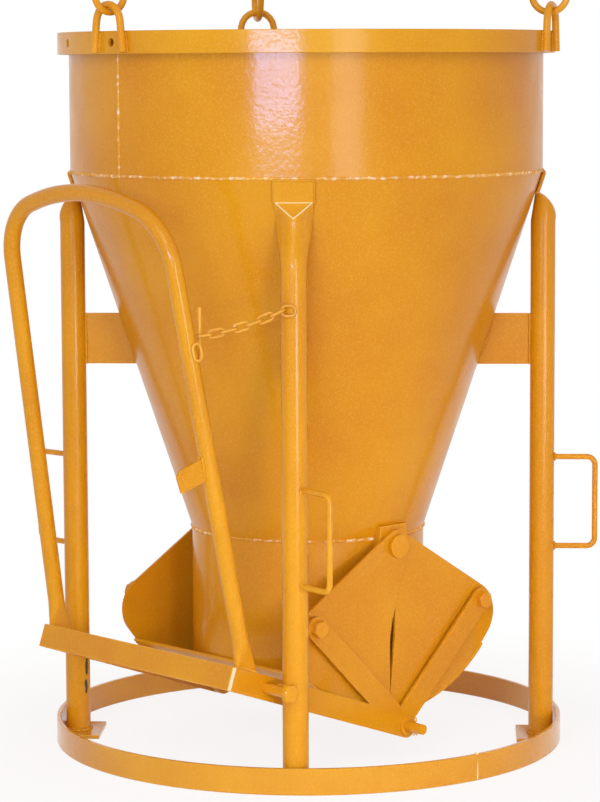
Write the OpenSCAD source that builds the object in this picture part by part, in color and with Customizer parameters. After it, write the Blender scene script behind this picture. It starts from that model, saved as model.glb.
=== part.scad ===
// Concrete bucket for a crane: a cylinder-and-cone hopper on four tube legs, with a
// two-jaw gate under the outlet that one hand lever opens through four links.
// Frame: origin on the floor at the centre of the base ring, +Z up, lever on the -Y side,
// gate pivots along X. Millimetres.

/* [Hopper] */
// Distance of the upper cylinder inside the base ring's outer face
hopper_inset = 40; // [20:1:90]
// Height of the upper cylinder
cylinder_h = 267; // [200:1:400]
// Height of the cone
cone_h = 698; // [600:1:800]
// Height of the outlet's upper edge above the floor
outlet_z = 425; // [405:1:470]
// How far the cone's slope runs in from the cylinder to the outlet tube
cone_run = 231.5; // [200:0.5:250]
// Sheet thickness of the hopper and the outlet
shell_t = 5; // [3:0.5:8]
// Height of the rim's angle ring
rim_h = 42; // [30:1:60]
// How far the rim stands out from the cylinder
rim_reach = 22; // [16:1:40]
// Thickness of the rim's angle ring
rim_t = 6; // [4:0.5:8]
// Diameter of the two holes in the rim
rim_hole_d = 16; // [10:1:20]
// Angle between the two rim holes
rim_hole_step = 20.8; // [10:0.1:25]

/* [Frame] */
// Outside diameter of the base ring
ring_d = 1000; // [950:1:1100]
// Height of the base ring's flat bar
ring_h = 50; // [40:1:70]
// Thickness of the base ring's flat bar
ring_t = 8; // [6:0.5:12]
// Outside diameter of the leg tubes
leg_d = 48.3; // [42:0.1:54]
// Wall of the leg tubes
leg_wall = 3.2; // [2:0.1:5]
// Gap between the leg tubes and the base ring
leg_gap = 6.5; // [3:0.5:12]
// Length of the flattened leg end that lies on the cone
pad_l = 41; // [25:1:60]
// Distance of the flattened end below the joint of cylinder and cone
pad_drop = 3; // [1:0.5:10]
// Length over which the round tube turns into the flat end
pad_neck = 36; // [30:1:70]
// Length of a foot plate along the ring
foot_l = 125; // [90:1:160]
// Width of a foot plate across the ring
foot_w = 79; // [70:1:110]
// Thickness of the foot plates
foot_t = 8; // [5:0.5:12]
// Height of a gusset between leg and cone
gusset_h = 100; // [60:1:140]
// Height of the gussets' lower edge above the floor
gusset_z = 743; // [650:1:850]
// Thickness of the gussets
gusset_t = 8; // [5:0.5:12]

/* [Grab handles] */
// Diameter of the grab handles' bar
grab_bar_d = 11; // [8:0.5:16]
// Distance between a grab handle's two bars
grab_h = 177; // [120:1:220]
// Distance from the leg's surface to the middle of the grip
grab_reach = 80; // [50:1:110]
// Bend radius of the grab handles
grab_bend = 16; // [12:1:25]
// Height of the lower bar above the floor
grab_z = 383; // [330:1:450]
// Angle that the lever-side grab handles are turned from the radius
grab_turn = 40; // [0:1:50]

/* [Lifting lugs and links] */
// Diameter of the lugs' bar
lug_bar_d = 14; // [10:0.5:18]
// Width of a lug between the middles of its feet
lug_w = 84; // [76:1:120]
// Height of a lug from its feet to the middle of its crown
lug_h = 86; // [76:1:130]
// Radius of a lug's crown
lug_crown_r = 35; // [24:1:37]
// Diameter of the lifting links' bar
link_bar_d = 13; // [9:0.5:16]
// Inner length of a lifting link
link_in_l = 110; // [80:1:140]
// Inner width of a lifting link
link_in_w = 56; // [40:1:70]
// Angle that the lifting links lean to the middle
link_lean = 10; // [0:1:30]

/* [Gate] */
// Height of the gate's pivot above the floor
pivot_z = 410; // [395:1:425]
// Inner radius of the closing plates about the pivot
jaw_r = 322; // [312:1:325]
// Thickness of the closing plates
jaw_t = 6; // [4:0.5:8]
// Angle of a closing plate from the bottom to its upper edge
jaw_span = 47; // [45:0.5:52]
// Clearance between the outlet's lower edge and the closing plates
jaw_gap = 2.5; // [1:0.5:5]
// Distance of the inner side plates from the outlet tube
side_off = 17.5; // [12:0.5:30]
// Thickness of the side plates
side_t = 5; // [4:0.5:8]
// Radius of a side plate's hub
hub_r = 32; // [26:1:40]
// Radius of a side plate's outer corner
corner_r = 62; // [40:1:80]
// Angle of the corner below the horizontal
corner_a = 37.6; // [34:0.1:41]
// Distance that the front side plates lie over the rear ones at the pivot
side_lap = 20; // [10:1:26]
// Depth below the pivot where the slit between the side plates starts
slit_drop = 145; // [110:1:160]
// Depth below the pivot where the slit is widest
slit_deep = 175; // [165:1:220]
// Width of the slit where it is widest
slit_w = 18; // [8:0.5:24]
// Distance of the slit from the gate's middle, towards the lever
slit_off = 20; // [10:0.5:26]
// Diameter of the gate's pivot pins
pivot_d = 28; // [20:1:36]
// Diameter of a pivot pin's head
pivot_head_d = 45; // [38:1:55]
// Thickness of a pivot pin's head
pivot_head_t = 8; // [5:0.5:12]
// Width of a pivot block
block_w = 70; // [50:1:90]
// Height of a pivot block above the pivot
block_up = 40; // [25:1:60]
// Depth of a pivot block below the pivot
block_down = 55; // [30:1:80]

/* [Links] */
// Distance of the link pins from the middle plane of the gate
link_y = 222; // [205:1:235]
// Distance of the link pins below the pivot
link_drop = 130; // [120:1:145]
// Height of the toggle pins above the floor
toggle_z = 63; // [55:1:72]
// Width of the links' flat bar
link_w = 45; // [42:1:50]
// Thickness of the links' flat bar
link_t = 8; // [6:0.5:12]
// Diameter of the link bolts
bolt_d = 20; // [16:1:24]
// Width across flats of the bolt heads
bolt_af = 30; // [26:1:36]
// Thickness of the bolt heads
bolt_head_t = 12.5; // [8:0.5:15]
// Diameter of the toggle pins
toggle_d = 20; // [16:1:22]
// Length of a toggle pin outside the lever arm
toggle_out = 43; // [20:1:60]
// Diameter of the toggle pins' washers
washer_d = 37; // [32:1:42]
// Thickness of the toggle pins' washers
washer_t = 3; // [2:0.5:5]
// Diameter of the split pins
split_d = 5; // [3:0.5:6]
// Clearance of the links' lower eyes round the toggle pins
toggle_play = 5.2; // [5:0.1:6]

/* [Lever] */
// Width of the lever arms' flat bar
arm_w = 45; // [40:1:55]
// Thickness of the lever arms' flat bar
arm_t = 10; // [8:0.5:14]
// Length of a lever arm from the lever's pivot to the cross bar
arm_past = 81.8; // [70:0.1:140]
// Height of the lever's pivot above the floor
lever_z = 190; // [175:1:210]
// Length of the lever pivot bolts outside the arms
lever_bolt_out = 58; // [40:1:75]
// Thickness of the cross bar
cross_t = 10; // [8:0.5:16]
// Outside diameter of the handle tube
tube_d = 32; // [26:0.1:42]
// Wall of the handle tube
tube_wall = 3; // [2:0.1:4]
// Height of the handle from its feet to the middle of its bow
handle_h = 879; // [750:1:1000]
// Radius of the bends at the handle's shoulders
handle_bend_r = 121; // [90:1:180]
// Straight length between a shoulder bend and the arched top
handle_run = 20; // [10:1:40]
// Radius of the handle's arched top
handle_top_r = 493; // [400:1:700]
// Distance that the handle's shoulders stand in from the arms
shoulder_in = 37; // [25:1:50]
// Angle that the handle leans out
handle_lean = 9.9; // [5:0.1:15]
// Length of the handle's flattened feet
handle_neck = 62; // [45:1:90]
// Thickness of the handle's flattened feet
handle_flat_t = 8; // [6.5:0.5:9.5]
// Height of the catch plate up the handle
catch_h = 385; // [250:1:480]
// Length of the catch plate
catch_l = 60; // [40:1:90]
// Width of the catch plate
catch_w = 40; // [25:1:50]
// Thickness of the catch plate
catch_t = 8; // [5:0.5:10]
// Cut across the catch plate's upper corner
catch_clip = 9; // [0:0.5:15]
// Angle that the catch plate droops
catch_droop = 8; // [0:1:25]

/* [Safety chain] */
// Number of chain links
chain_n = 7; // [5:2:9]
// Wire of the chain links and of the eye on the leg
chain_wire_d = 4.5; // [3.5:0.1:4.8]
// Inner width of a chain link
chain_in_w = 9; // [8.8:0.1:10]
// Height of the eye on the leg above the handle's eye
chain_rise = 65.4; // [50:0.1:90]
// Inner length of the eye on the leg
eye_in_l = 21; // [20:1:26]
// Inner width of the eyes
eye_in_w = 14; // [13:1:18]
// Height of the eye up the handle
handle_eye_h = 596; // [560:1:620]
// Inner length of the handle's eye
handle_eye_l = 26; // [22:1:34]
// Diameter of the chain's toggle bar
toggle_bar_d = 8; // [6:0.1:8.2]
// Length of the chain's toggle bar
toggle_bar_l = 104; // [80:1:120]
// Angle by which each chain link lies flatter than the one before it
chain_curl = 3; // [0:0.5:4]

/* [Fits] */
// Gap between welded pieces
seat = 0.1; // [0.05:0.01:0.3]
// Radial clearance of a pin in its hole
pin_fit = 0.05; // [0.02:0.01:0.1]
// Gap between plates that turn past each other
side_gap = 0.4; // [0.3:0.1:1]
// Half of the gap between the closing plates' lips
lip_gap = 1; // [0.5:0.1:2]

/* [Hidden] */
$fn = 96;
paint = [0.87, 0.6, 0.14];
paint_dark = [0.8, 0.5, 0.12];
paint_light = [0.9, 0.66, 0.2];

// Heights and radii of the hopper
weld_z = outlet_z + cone_h;
rim_z = weld_z + cylinder_h;
cylinder_r = ring_d / 2 - hopper_inset;
outlet_r = cylinder_r - cone_run;
rim_r = cylinder_r + rim_reach;
cone_a = atan((cylinder_r - outlet_r) / cone_h);
function cone_r(z) = outlet_r + (z - outlet_z) * tan(cone_a);

// Legs and what stands on them
leg_r = ring_d / 2 - ring_t - leg_gap - leg_d / 2;
leg_xy = leg_r * sin(45);
pad_w = PI * leg_d / 2;
pad_t = 2 * leg_wall + 1;
pad_z = weld_z - pad_drop - pad_l * cos(cone_a);
neck_z = pad_z - pad_neck;
RIGHT_FRONT = 315;
RIGHT_REAR = 45;
LEFT_REAR = 135;
LEFT_FRONT = 225;
LEG_ANGLES = [RIGHT_FRONT, RIGHT_REAR, LEFT_REAR, LEFT_FRONT];

// Lugs: three round the rim, one of them over the lever
LUG_FRONT = 270;
LUG_RIGHT = 30;
LUG_LEFT = 150;
lug_lift = 4;
lug_foot_z = rim_z - rim_h + lug_lift;
lug_at_rim = lug_w / 2 - (rim_h - lug_lift) * tan(bow_angle(lug_w / 2, lug_h, lug_crown_r));
lug_plane_r = sqrt(pow(rim_r + lug_bar_d / 2 + seat, 2) - pow(lug_at_rim, 2));
lug_crown_z = lug_foot_z + lug_h;
link_slack = 0.4;

// Gate: layers from the inside out on each side
side_x = outlet_r + side_off;
front_side_x = side_x + side_t + side_gap;
front_side_out = front_side_x + side_t;
rear_link_x = front_side_out + side_gap;
front_link_x = rear_link_x + link_t + side_gap;
arm_x = front_link_x + link_t + side_gap;
arm_out = arm_x + arm_t;
arm_mid = arm_x + arm_t / 2;
block_out = side_x - side_gap;
corner_dist = jaw_r - corner_r;
lip_lift = 4;
link_l = norm([link_y, pivot_z - link_drop - toggle_z]);
link_a = atan2(pivot_z - link_drop - toggle_z, link_y);

// Lever
lever_y = leg_xy + leg_d / 2 + bolt_d / 2 + seat;
arm_a = atan2(lever_z - toggle_z, lever_y);
lever_dist = norm([lever_y, lever_z - toggle_z]);
arm_l = lever_dist + arm_past;
handle_flat_w = PI * tube_d / 2;
handle_foot = arm_l - handle_flat_w / 2;
shoulder_x = arm_mid - shoulder_in - handle_bend_r;
run_lap = 1;
bend_to_top = handle_top_r - handle_bend_r;
handle_top_a = asin(shoulder_x / norm([bend_to_top, handle_run])) - atan2(handle_run, bend_to_top);
shoulder_z = handle_h - handle_top_r + bend_to_top * cos(handle_top_a) - handle_run * sin(handle_top_a);
handle_tau = bow_angle(shoulder_in + handle_bend_r, shoulder_z + handle_bend_r, handle_bend_r);
hex_k = 1 / cos(30);
nut_t = 10;

// Safety chain, from the eye on the leg to the toggle bar beside the handle's eye
eye_shift = 8.5;
eye_off_y = 4;
eye_r = leg_r + leg_d / 2 + chain_wire_d / 2 + seat;
eye_t = -eye_shift - eye_in_l / 2 - chain_wire_d / 2;
handle_y = -handle_foot * cos(arm_a) + arm_w / 2 * sin(arm_a);
handle_z = toggle_z + handle_foot * sin(arm_a) + arm_w / 2 * cos(arm_a);
bar_side_y = tube_d / 2 + seat + eye_in_w / 2 + chain_wire_d;
beside_tube_at = [
    arm_mid - handle_eye_h * tan(handle_tau),
    handle_y - handle_eye_h * sin(handle_lean) + bar_side_y * cos(handle_lean),
    handle_z + handle_eye_h * cos(handle_lean) + bar_side_y * sin(handle_lean)
];
eye_z = beside_tube_at[2] + chain_rise;
chain_start = [
    eye_r * cos(RIGHT_FRONT) - eye_t * sin(RIGHT_FRONT),
    eye_r * sin(RIGHT_FRONT) + eye_t * cos(RIGHT_FRONT),
    eye_z
];
bar_gap = 1.5;
bar_beside = [
    -(chain_wire_d + toggle_bar_d) / 2 - bar_gap,
    3,
    handle_eye_l / 2 + 2 * chain_wire_d
];
chain_aim = beside_tube_at + bar_beside - chain_start;
chain_yaw = atan2(chain_aim[1], chain_aim[0]);
chain_slope = asin(chain_aim[2] / norm(chain_aim));
chain_play = 3 * seat;
eye_play = 1.7;
chain_ends = (chain_wire_d + chain_in_w) / 2 + eye_play;
chain_in_l = (norm(chain_aim) + chain_ends + (chain_n - 1) * chain_play) / chain_n;
chain_pitch = chain_in_l - chain_play;
chain_lead = (chain_in_l - chain_wire_d) / 2 - eye_play;

// Direction and middle of a chain link, in the chain's own upright plane
function chain_a(i) = chain_slope + chain_curl * (i - (chain_n - 1) / 2);
function chain_dir(i) = [cos(chain_a(i)), 0, sin(chain_a(i))];
function chain_at(i) =
    i == 0 ? chain_lead * chain_dir(0)
    : chain_at(i - 1) + chain_pitch / 2 * (chain_dir(i - 1) + chain_dir(i));

// Angle of a bow's legs from the upright, so that they run tangent into its crown
function bow_angle(half_w, height, crown_r) =
    acos(crown_r / norm([half_w, height - crown_r])) - atan2(height - crown_r, half_w);

// Points of an arc, a point every few degrees
function arc(centre, r, from, to, step = 3) =
    let (n = ceil(abs(to - from) / step))
    [for (i = [0 : n]) let (a = from + (to - from) * i / n) centre + r * [cos(a), sin(a)]];

// Turned to an angle round the hopper's axis, with +X pointing out
module at_angle(a) {
    rotate([0, 0, a]) children();
}

// Both sides of the gate
module both_sides() {
    for (side = [0, 1]) mirror([side, 0, 0]) children();
}

// A round bar lying along X from x0 to x1
module x_bar(d, x0, x1) {
    translate([x0, 0, 0]) rotate([0, 90, 0]) cylinder(d = d, h = x1 - x0);
}

// A hexagon head lying along X
module x_hex(af, x0, x1) {
    translate([x0, 0, 0]) rotate([0, 90, 0]) cylinder(d = af * hex_k, h = x1 - x0, $fn = 6);
}

// A plate lying across X, drawn as an outline in Y and Z
module x_plate(points, x0, t) {
    translate([x0, 0, 0]) rotate([90, 0, 90]) linear_extrude(height = t) polygon(points);
}

// A bend of round bar in the XZ plane, starting at +X
module bend(r, d, angle) {
    rotate([90, 0, 0]) rotate_extrude(angle = angle) translate([r, 0]) circle(d = d);
}

// Two legs and a round crown of bar in the XZ plane, with the legs' lowest part left off
module bow(half_w, height, crown_r, d, skip = 0) {
    tau = bow_angle(half_w, height, crown_r);
    crown_z = height - crown_r;
    run = norm([half_w - crown_r * cos(tau), crown_z + crown_r * sin(tau)]);
    for (side = [0, 1]) mirror([side, 0, 0]) intersection() {
        translate([0, 0, crown_z]) rotate([0, -tau, 0]) {
            bend(crown_r, d, 90);
            translate([crown_r, 0, skip - run]) cylinder(d = d, h = run - skip);
        }
        translate([0, -d, -d]) cube([half_w + d, 2 * d, height + 2 * d]);
    }
}

// A closed link of round bar in the XZ plane, long along X
module oblong(in_l, in_w, d) {
    r = (in_w + d) / 2;
    straight = in_l - in_w;
    room = in_w + 2 * d;
    for (side = [0, 1]) mirror([side, 0, 0]) intersection() {
        translate([straight / 2, 0, 0]) {
            rotate([0, 90, 0]) bend(r, d, 180);
            for (s = [-1, 1]) translate([0, 0, s * r]) x_bar(d, -straight, 0);
        }
        translate([0, -d, -room]) cube([in_l, 2 * d, 2 * room]);
    }
}

// Base ring: flat bar rolled on edge and welded
module base_ring() {
    color(paint) difference() {
        cylinder(d = ring_d, h = ring_h, $fn = 128);
        translate([0, 0, -1]) cylinder(d = ring_d - 2 * ring_t, h = ring_h + 2, $fn = 128);
    }
}

// Foot plates: one under each leg, fitted to the inside of the base ring
module foot_plates() {
    in_r = ring_d / 2 - ring_t - seat;
    color(paint) for (a = LEG_ANGLES) at_angle(a)
        intersection() {
            translate([in_r - foot_w, -foot_l / 2, 0]) cube([foot_w, foot_l, foot_t]);
            cylinder(r = in_r, h = foot_t, $fn = 128);
        }
}

// Place on the cone's outer face at a height, with +X square to the sheet and +Z up the slope
module on_cone(z) {
    translate([cone_r(z), 0, z]) rotate([0, cone_a, 0]) children();
}

// Leg: tube whose upper end is flattened to a pad on the cone
module leg(a) {
    slab = 0.5;
    step = 0.2;
    color(paint_light) at_angle(a) {
        translate([leg_r, 0, foot_t]) difference() {
            cylinder(d = leg_d, h = neck_z - foot_t);
            translate([0, 0, -1]) cylinder(d = leg_d - 2 * leg_wall, h = neck_z - foot_t - leg_wall);
        }
        hull() {
            translate([leg_r, 0, neck_z - leg_wall / 2]) cylinder(d = leg_d - 2 * step, h = slab, $fn = 32);
            on_cone(pad_z) translate([seat + step, step - pad_w / 2, slab])
                cube([pad_t - 2 * step, pad_w - 2 * step, slab]);
        }
        on_cone(pad_z) translate([seat, -pad_w / 2, 0]) cube([pad_t, pad_w, pad_l]);
    }
}

module leg_front_right() { leg(RIGHT_FRONT); }
module leg_rear_right() { leg(RIGHT_REAR); }
module leg_rear_left() { leg(LEFT_REAR); }
module leg_front_left() { leg(LEFT_FRONT); }

// Gussets: one plate on edge between each leg and the cone
module leg_gussets() {
    top = gusset_z + gusset_h;
    leg_in = leg_r - leg_d / 2 - seat;
    outline = [
        [cone_r(gusset_z) + seat, gusset_z], [leg_in, gusset_z],
        [leg_in, top], [cone_r(top) + seat, top]
    ];
    color(paint_dark) for (a = LEG_ANGLES) at_angle(a)
        translate([0, gusset_t / 2, 0]) rotate([90, 0, 0])
            linear_extrude(height = gusset_t) polygon(outline);
}

// Grab handle: bent bar coped to the leg, turned from the radius
module grab_handle(a, turn) {
    out = leg_d / 2 + grab_reach;
    color(paint) at_angle(a) translate([leg_r, 0, grab_z]) rotate([0, 0, turn])
        difference() {
            union() {
                x_bar(grab_bar_d, 0, out - grab_bend);
                translate([0, 0, grab_h]) x_bar(grab_bar_d, 0, out - grab_bend);
                translate([out, 0, grab_bend]) cylinder(d = grab_bar_d, h = grab_h - 2 * grab_bend);
                translate([out - grab_bend, 0, grab_bend]) rotate([0, 90, 0]) bend(grab_bend, grab_bar_d, 90);
                translate([out - grab_bend, 0, grab_h - grab_bend]) bend(grab_bend, grab_bar_d, 90);
            }
            translate([0, 0, -grab_h]) cylinder(d = leg_d + 2 * seat, h = 3 * grab_h);
        }
}

module grab_handle_front_right() { grab_handle(RIGHT_FRONT, grab_turn); }
module grab_handle_rear_right() { grab_handle(RIGHT_REAR, 0); }
module grab_handle_rear_left() { grab_handle(LEFT_REAR, 0); }
module grab_handle_front_left() { grab_handle(LEFT_FRONT, -grab_turn); }

// Outlet: tube below the cone, its lower edge cut round to the jaws' swing
module outlet_tube() {
    color(paint_dark) intersection() {
        difference() {
            cylinder(r = outlet_r, h = outlet_z);
            translate([0, 0, -1]) cylinder(r = outlet_r - shell_t, h = outlet_z + 2);
        }
        translate([0, 0, pivot_z]) x_bar(2 * (jaw_r - jaw_gap), -outlet_r - 1, outlet_r + 1);
    }
}

// Cone of the hopper
module hopper_cone() {
    color(paint) difference() {
        translate([0, 0, outlet_z]) cylinder(r1 = outlet_r, r2 = cylinder_r, h = cone_h, $fn = 128);
        translate([0, 0, outlet_z - 1]) cylinder(
            r1 = cone_r(outlet_z - 1) - shell_t,
            r2 = cone_r(weld_z + 1) - shell_t,
            h = cone_h + 2,
            $fn = 128
        );
    }
}

// Upper cylinder of the hopper
module hopper_cylinder() {
    color(paint) translate([0, 0, weld_z]) difference() {
        cylinder(r = cylinder_r, h = cylinder_h, $fn = 128);
        translate([0, 0, -1]) cylinder(r = cylinder_r - shell_t, h = cylinder_h + 2, $fn = 128);
    }
}

// Rim: angle ring with its flange hanging down outside, drilled at the front
module rim_ring() {
    color(paint_light) difference() {
        translate([0, 0, rim_z - rim_h]) cylinder(r = rim_r, h = rim_h, $fn = 128);
        translate([0, 0, rim_z - rim_h - rim_t]) cylinder(r = rim_r - rim_t, h = rim_h, $fn = 128);
        translate([0, 0, rim_z - rim_h]) cylinder(r = cylinder_r + seat, h = rim_h + 1, $fn = 128);
        for (a = [LUG_FRONT, LUG_FRONT - rim_hole_step]) at_angle(a)
            translate([0, 0, rim_z - rim_h / 2]) x_bar(rim_hole_d, rim_r - 2 * rim_t, rim_r + rim_t);
    }
}

// Lifting lug: bow of bar welded on the rim
module lug(a) {
    color(paint_light) at_angle(a) translate([lug_plane_r, 0, lug_foot_z]) rotate([0, 0, 90])
        bow(lug_w / 2, lug_h, lug_crown_r, lug_bar_d);
}

module lug_front() { lug(LUG_FRONT); }
module lug_right() { lug(LUG_RIGHT); }
module lug_left() { lug(LUG_LEFT); }

// Lifting link: closed link hung in a lug, leaning to the middle
module lifting_link(a) {
    up = link_in_l / 2 - lug_bar_d / 2 - link_slack;
    color(paint_light) at_angle(a) translate([lug_plane_r, 0, lug_crown_z]) rotate([0, -link_lean, 0])
        translate([0, 0, up]) rotate([0, 90, 0]) oblong(link_in_l, link_in_w, link_bar_d);
}

module lifting_link_front() { lifting_link(LUG_FRONT); }
module lifting_link_right() { lifting_link(LUG_RIGHT); }
module lifting_link_left() { lifting_link(LUG_LEFT); }

// Pivot blocks: one on each side of the outlet, bored for the gate's pivot pins
module pivot_blocks() {
    blind = outlet_r + shell_t / 2;
    color(paint_dark) both_sides() difference() {
        translate([outlet_r * cos(15), -block_w / 2, pivot_z - block_down])
            cube([block_out - outlet_r * cos(15), block_w, block_down + block_up]);
        translate([0, 0, outlet_z - cone_h]) cylinder(r = outlet_r + seat, h = cone_h);
        translate([0, 0, outlet_z - seat])
            cylinder(r1 = cone_r(outlet_z) + seat, r2 = cone_r(weld_z) + seat, h = cone_h, $fn = 128);
        translate([0, 0, pivot_z]) x_bar(pivot_d + 2 * pin_fit, blind, block_out + 1);
    }
}

// Gate pivot pins: one each side, through both side plates into the pivot block
module gate_pivot_pins() {
    color(paint_light) both_sides() translate([0, 0, pivot_z]) {
        x_bar(pivot_d, outlet_r + shell_t, front_side_out + side_gap);
        x_bar(pivot_head_d, front_side_out + side_gap, front_side_out + side_gap + pivot_head_t);
    }
}

// Outline of a side plate on the +Y side, seen from the pivot: lap is its reach past the pivot's middle,
// low_y the place of its meeting edge on the rim, and edge that edge's points from there up to the hub
function side_outline(lap, low_y, edge) =
    let (
        corner = corner_dist * [cos(corner_a), -sin(corner_a)],
        edge_a = asin((corner_r - hub_r) / corner_dist) - corner_a
    )
    concat(
        arc([0, 0], hub_r, 270 - asin(lap / hub_r), 90 + edge_a),
        arc(corner, corner_r, 90 + edge_a, -corner_a),
        arc([0, 0], jaw_r - seat, -corner_a, -acos(low_y / (jaw_r - seat))),
        edge
    );

// Rear side plate, whose meeting edge runs under the front one and clears the front closing plate below
rear_outline = side_outline(0, lip_gap, [
    [2 * lip_gap - slit_off, lip_lift - jaw_r],
    [slit_w - slit_off, -slit_deep]
]);

// Front side plate, whose meeting edge leans over the rear one at the pivot
front_outline = side_outline(side_lap, slit_off, [
    [slit_off, -slit_deep],
    [slit_off - slit_w / 3, -slit_drop]
]);

// Side plate of a jaw, bored for the pivot pin and the link bolt
module jaw_side(x0, outline) {
    difference() {
        translate([0, 0, pivot_z]) x_plate(outline, x0, side_t);
        translate([0, 0, pivot_z]) x_bar(pivot_d + 2 * pin_fit, x0 - 1, x0 + side_t + 1);
        translate([0, link_y, pivot_z - link_drop]) x_bar(bolt_d + 2 * pin_fit, x0 - 1, x0 + side_t + 1);
    }
}

// Closing plate of a jaw: rolled sheet from the lip up to its upper edge
module jaw_plate(out_x) {
    lip_a = asin(lip_gap / jaw_r);
    translate([-out_x, 0, pivot_z]) rotate([90, 0, 90]) rotate([0, 0, lip_a - 90])
        rotate_extrude(angle = jaw_span - lip_a, $fn = 128)
            translate([jaw_r, 0]) square([jaw_t, 2 * out_x]);
}

// Bolt that carries a link on a side plate: head, shank and the shoulder under the link
module link_bolt(plate_x, link_x) {
    head_x = link_x + link_t + side_gap / 2;
    translate([0, link_y, pivot_z - link_drop]) {
        x_bar(bolt_d, plate_x, head_x);
        x_bar(bolt_af, plate_x + side_t, link_x - side_gap / 2);
        x_hex(bolt_af, head_x, head_x + bolt_head_t);
    }
}

module rear_jaw_plate() { color(paint_dark) jaw_plate(side_x + side_t); }
module rear_jaw_side_right() { color(paint) jaw_side(side_x, rear_outline); }
module rear_jaw_side_left() { color(paint) mirror([1, 0, 0]) jaw_side(side_x, rear_outline); }
module rear_link_bolts() { color(paint_light) both_sides() link_bolt(side_x, rear_link_x); }

module front_jaw_plate() { color(paint_dark) mirror([0, 1, 0]) jaw_plate(front_side_out); }
module front_jaw_side_right() { color(paint) mirror([0, 1, 0]) jaw_side(front_side_x, front_outline); }
module front_jaw_side_left() { mirror([1, 0, 0]) front_jaw_side_right(); }
module front_link_bolts() {
    color(paint_light) mirror([0, 1, 0]) both_sides() link_bolt(front_side_x, front_link_x);
}

// Link: flat bar from a link bolt down to the toggle pin, with a wide lower eye
module jaw_link(x0) {
    half = link_w / 2;
    outline = concat(arc([0, 0], half, 90, 270, 5), arc([link_l, 0], half, -90, 90, 5));
    translate([0, link_y, pivot_z - link_drop]) rotate([180 + link_a, 0, 0])
        difference() {
            x_plate(outline, x0, link_t);
            x_bar(bolt_d + 2 * pin_fit, x0 - 1, x0 + link_t + 1);
            translate([0, link_l, 0]) x_bar(toggle_d + 2 * toggle_play, x0 - 1, x0 + link_t + 1);
        }
}

module rear_link_right() { color(paint_light) jaw_link(rear_link_x); }
module rear_link_left() { color(paint_light) mirror([1, 0, 0]) jaw_link(rear_link_x); }
module front_link_right() { color(paint_light) mirror([0, 1, 0]) jaw_link(front_link_x); }
module front_link_left() { color(paint_light) mirror([0, 1, 0]) mirror([1, 0, 0]) jaw_link(front_link_x); }

// Lever pivot bolts: welded along the lever-side face of the two front legs
module lever_pivot_bolts() {
    head_x = arm_out + lever_bolt_out;
    color(paint_light) both_sides() translate([0, -lever_y, lever_z]) {
        x_bar(bolt_d, arm_x - side_gap - nut_t, head_x);
        x_hex(bolt_af, head_x, head_x + bolt_head_t);
    }
}

// Nuts on the inner ends of the lever pivot bolts
module lever_pivot_nuts() {
    color(paint) both_sides() translate([0, -lever_y, lever_z]) difference() {
        x_hex(bolt_af, arm_x - side_gap - nut_t, arm_x - side_gap);
        x_bar(bolt_d + 2 * pin_fit, 0, arm_x);
    }
}

// Frame of the lever: at the toggle pins, with -Y along the arms to the operator
module arm_frame() {
    translate([0, 0, toggle_z]) rotate([-arm_a, 0, 0]) children();
}

// Frame of the handle: at its feet on the arms' upper edges, with +Z up the handle
module handle_frame() {
    arm_frame() translate([0, -handle_foot, arm_w / 2]) rotate([arm_a + handle_lean, 0, 0]) children();
}

// Lever arm: flat bar with a round end at the toggle pin
module lever_arm() {
    half = arm_w / 2;
    outline = concat(arc([0, 0], half, -90, 90, 5), [[-arm_l, half], [-arm_l, -half]]);
    arm_frame() difference() {
        x_plate(outline, arm_x, arm_t);
        x_bar(toggle_d + 2 * pin_fit, arm_x - 1, arm_out + 1);
        translate([0, -lever_dist, 0]) x_bar(bolt_d + 2 * pin_fit, arm_x - 1, arm_out + 1);
    }
}

module lever_arm_right() { color(paint) lever_arm(); }
module lever_arm_left() { color(paint) mirror([1, 0, 0]) lever_arm(); }

// Cross bar: flat bar welded across the operator ends of the arms
module lever_cross_bar() {
    color(paint) arm_frame() translate([-arm_out, -arm_l - seat - cross_t, -arm_w / 2])
        cube([2 * arm_out, cross_t, arm_w]);
}

// Handle's tube in the XZ plane: an arched top, two shoulder bends and two legs, their lowest part left off.
// The short straights are a hair fuller than the bends that they run into
module handle_bow(d, skip) {
    leg_top = [shoulder_x + handle_bend_r * cos(handle_tau), shoulder_z + handle_bend_r * sin(handle_tau)];
    leg_run = norm([arm_mid, 0] - leg_top);
    translate([0, 0, handle_h - handle_top_r]) rotate([0, handle_top_a - 90, 0])
        bend(handle_top_r, d, 2 * handle_top_a);
    for (side = [0, 1]) mirror([side, 0, 0]) translate([shoulder_x, 0, shoulder_z]) {
        rotate([0, handle_top_a - 90, 0]) translate([handle_bend_r, 0, -run_lap])
            cylinder(d = d + 2 * seat, h = handle_run + 2 * run_lap);
        rotate([0, -handle_tau, 0]) {
            bend(handle_bend_r, d, 90 - handle_tau - handle_top_a);
            translate([handle_bend_r, 0, skip - leg_run]) cylinder(d = d, h = leg_run - skip);
        }
    }
}

// Handle: bent tube, its two feet flattened on to the arms
module lever_handle() {
    slab = 0.5;
    sides = 32;
    color(paint_light) handle_frame() {
        difference() {
            handle_bow(tube_d, handle_neck);
            handle_bow(tube_d - 2 * tube_wall, handle_neck + tube_wall);
        }
        for (s = [-1, 1]) translate([s * arm_mid, 0, 0]) hull() {
            rotate([0, -s * handle_tau, 0]) translate([0, 0, handle_neck])
                cylinder(d = (tube_d + 2 * seat) / cos(180 / sides), h = slab, $fn = sides);
            rotate([-arm_a - handle_lean, 0, 0]) translate([-handle_flat_t / 2, -handle_flat_w / 2, seat])
                cube([handle_flat_t, handle_flat_w, slab]);
        }
    }
}

// Place on the axis of the handle's right tube, at a height up the handle
module on_right_tube(h) {
    handle_frame() translate([arm_mid, 0, 0]) rotate([0, -handle_tau, 0]) translate([0, 0, h]) children();
}

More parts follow.
